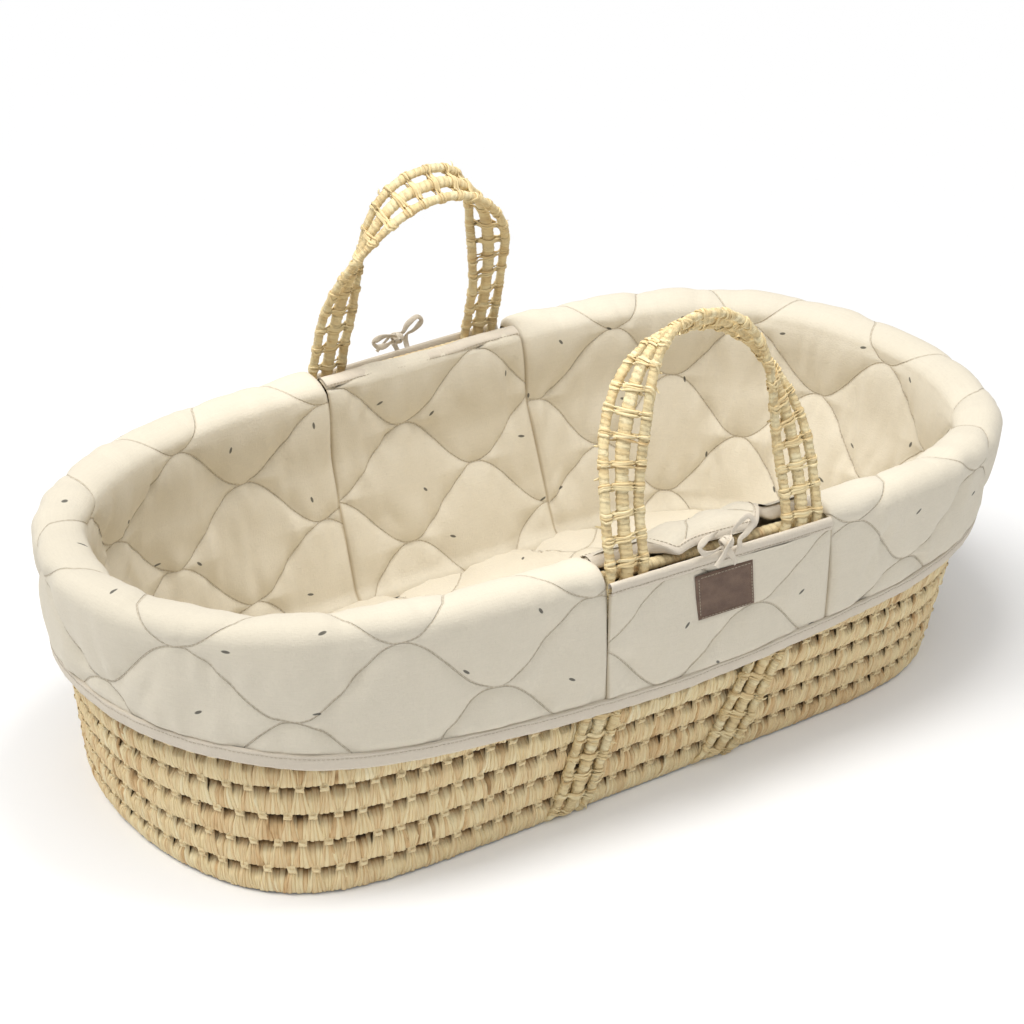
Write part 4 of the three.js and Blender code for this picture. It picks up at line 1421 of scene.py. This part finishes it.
def add_flap_tape(side, name):
    """The tape that binds the top edge of a flap."""
    build = Build()
    x = slot_x(TAPE_SHARE, TOP_HEIGHT)
    out, rise = np.transpose(FLAP_PROFILE) * MM
    z = flap_top(x) + rise
    arc = TAPE_SHARE * SLOT_WIDTH
    fine = smooth_noise(arc / 0.008, z / 0.02, 320 + side)
    coarse = smooth_noise(arc / 0.03, 0, 321 + side)
    grid, angle = slot_grid(side, TAPE_SHARE, z, out + (0.3 * fine + 0.35 * coarse) * MM)
    build.add(grid, stacked(arc, z, 0.4), 0.5)
    stitched = 8
    away = outward(angle[:, stitched])
    stitch_row(build, grid[:, stitched] + away * 0.25 * MM, away)
    place_piece(build, f"tape_{name}_flap", [tape, thread], f"binding_{name}_flap")


def add_rim_tape(side, name):
    """The tape that binds the inner panel's edge, where the panel comes over the rim."""
    build = Build()
    x = slot_x(TAPE_SHARE, TOP_HEIGHT)
    turn = np.radians(lap_angle(x, side) + RIM_TAPE_TURN)
    widened = 1 + ROLL_BULGE / ROLL_RADIUS * (np.cos(turn) < 0)
    out = -PALM_THICK / 2 + RIM_TAPE_RADIUS * widened * np.cos(turn)
    z = coil_height_at(x) + RIM_TAPE_RADIUS * np.sin(turn)
    if side < 0:
        slack = near_slack(x)
        out, z = out - SLACK_IN * slack, z + SLACK_UP * slack
    arc = TAPE_SHARE * SLOT_WIDTH
    pucker = 0.3 * MM * smooth_noise(arc / 0.008, 0, 330 + side)
    angle = angle_at(slot_x(TAPE_SHARE, z), z, side)
    grid = wall(angle, z + pucker, out)
    build.add(grid, stacked(arc, RIM_TAPE_RADIUS, 0.6), 0.5)
    rise, reach = 4 * MM * np.sin(turn[:, 1]), 4 * MM * np.cos(turn[:, 1])
    away = wall(angle[:, 1], z[:, 1] + rise, out[:, 1] + reach)
    away = unit(away - grid[:, 1])
    stitch_row(build, grid[:, 1] + away * 0.2 * MM, away)
    place_piece(build, f"tape_{name}_inner", [tape, thread], f"binding_{name}_inner")


# ---- ties and label ----------------------------------------------------------------------

# Routes of the two ribbons of each bow, [along, out, up] from the knot in millimetres.
TIE_ROUTES = {
    "inner": [
        [-4, -8, 7], [-5, -4, 9], [-10, -1, 10], [-18, 1, 10], [-25, 3, 6], [-21, 4, 0], [-12, 4, -1],
        [-4, 5, 1], [1, 10, -5], [5, 11, -13],
    ],
    "outer": [
        [11, 4, -9], [11, 7, -2], [12, 6, 4], [19, 5, 7], [26, 4, 14], [21, 3, 20], [11, 3, 15],
        [5, 3, 8], [-1, 9, 6], [-9, 12, -2], [-16, 13, -9],
    ],
}


# Shift along the knot in millimetres and tilt of the turns of ribbon around a bow.
KNOT_TURNS = [(-2.4, 0.4), (0.1, -0.1), (2.3, -0.35)]
RIBBON_POINTS = 70


def add_ties(side, name):
    x = sum(LEG_X) / 2
    z = flap_top(x) + 6 * MM
    angle = angle_at(x, z, side)
    knot = wall(angle, z, SKIRT_OUTSIDE)
    out = outward(angle)

    def bow_point(route):
        route = np.asarray(route, float) * MM
        return knot + route * [1, 0, 1] + out * route[..., 1:2]

    middle = bow_point([0, 4, 4])
    for key, route in TIE_ROUTES.items():
        path = smooth_path(bow_point(route), RIBBON_POINTS)
        build = Build()
        t = np.linspace(0, 1, RIBBON_POINTS)
        normals = out + 0.8 * np.stack([0 * t, 0 * t, np.sin(TAU * 1.3 * t + side)], -1)
        width = (2.5 + 0.3 * np.sin(TAU * 4 * t)) * MM
        tube(build, path, normals, width, 0.7 * MM, 0.5, 0.3, sides=12)
        ribbon = place_piece(build, f"ribbon_{name}_{key}", [tape], f"tie_{name}_{key}")
        if key == "outer":
            add_knot(name, middle, out)


def add_knot(name, middle, out):
    """Three turns of ribbon around the crossing of a bow."""
    build = Build()
    along = np.array([1.0, 0, 0])
    turn = full_turn(28)
    for shift, tilt in KNOT_TURNS:
        axis = unit(along + np.array([0, 0, tilt]))
        side = np.cross(axis, out)
        ring = side * np.cos(turn)[:, None] * 4.4 * MM + out * np.sin(turn)[:, None] * 3.8 * MM
        path = middle + axis * shift * MM + ring
        tube(build, path, ring, 2.3 * MM, 0.9 * MM, 0.5, 0.7, closed=True, sides=10)
    knot = build.finish(f"bow_knot_{name}", [tape])
    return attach(knot, "basket")


def label_points(u, v, lift):
    """Points of the label: u and v run from -1 to 1 over its width and height."""
    z = LABEL_Z + v * LABEL_HEIGHT / 2
    x = LABEL_X + u * LABEL_WIDTH / 2 + LABEL_SHEAR * (z - LABEL_Z)
    sag = 0.4 * MM * smooth_noise(u * 1.4, v * 1.1, 351)
    return wall(angle_at(x, z, -1), z, LABEL_OUT + sag + lift)


def add_label():
    """A blank leather patch with a pressed border and a row of stitches inside it."""
    build = Build()
    u = np.linspace(-1, 1, 60)[:, None]
    v = np.linspace(-1, 1, 46)
    edge_u, edge_v = (1 - np.abs(u)) * LABEL_WIDTH / 2, (1 - np.abs(v)) * LABEL_HEIGHT / 2
    edge = np.minimum(edge_u, edge_v)
    rounded = LABEL_ROUND * (1 - (1 - np.clip(edge / LABEL_ROUND, 0, 1)) ** 2)
    groove = -0.35 * MM * np.exp(-((edge - LABEL_GROOVE_INSET) / (0.7 * MM)) ** 2)
    grid = label_points(u, v, rounded + groove - 0.9 * MM)
    build.add(grid, stacked(u * LABEL_WIDTH / 2, v * LABEL_HEIGHT / 2, 0.4), 0.5)
    inset_u = 1 - LABEL_STITCH_INSET / (LABEL_WIDTH / 2)
    inset_v = 1 - LABEL_STITCH_INSET / (LABEL_HEIGHT / 2)
    corners = [(-1, -1), (1, -1), (1, 1), (-1, 1), (-1, -1)]
    for (a, b), (c, d) in zip(corners, corners[1:]):
        t = np.linspace(0.02, 0.98, 30)
        side_u, side_v = lerp(a, c, t) * inset_u, lerp(b, d, t) * inset_v
        points = label_points(side_u, side_v, 0.45 * MM)
        away = label_points(side_u, side_v, 2 * MM) - points
        stitch_row(build, points, away, 2.2 * MM, 1.0 * MM, 0.26 * MM)
    place_piece(build, "leather_label", [leather, thread], "label_patch")


# ---- assembly ----------------------------------------------------------------------------

for tie_side, tie_name in ((-1, "near"), (1, "far")):
    add_ties(tie_side, tie_name)
add_palm_rows()
add_rim_rope()
add_floor_mat()
for strap_index, strap_name in enumerate(("strap_left", "strap_right")):
    add_strap(strap_index, strap_name)
add_handle("handle_near", -1)
add_handle("handle_far", 1)
add_end_liner(-1, "left")
add_end_liner(1, "right")
for panel_side, panel_name in ((-1, "near"), (1, "far")):
    add_inner_panel(panel_side, panel_name)
    add_flap(panel_side, panel_name)
    add_flap_tape(panel_side, panel_name)
    add_rim_tape(panel_side, panel_name)
add_liner_base()
add_hem()
add_elastic()
add_label()
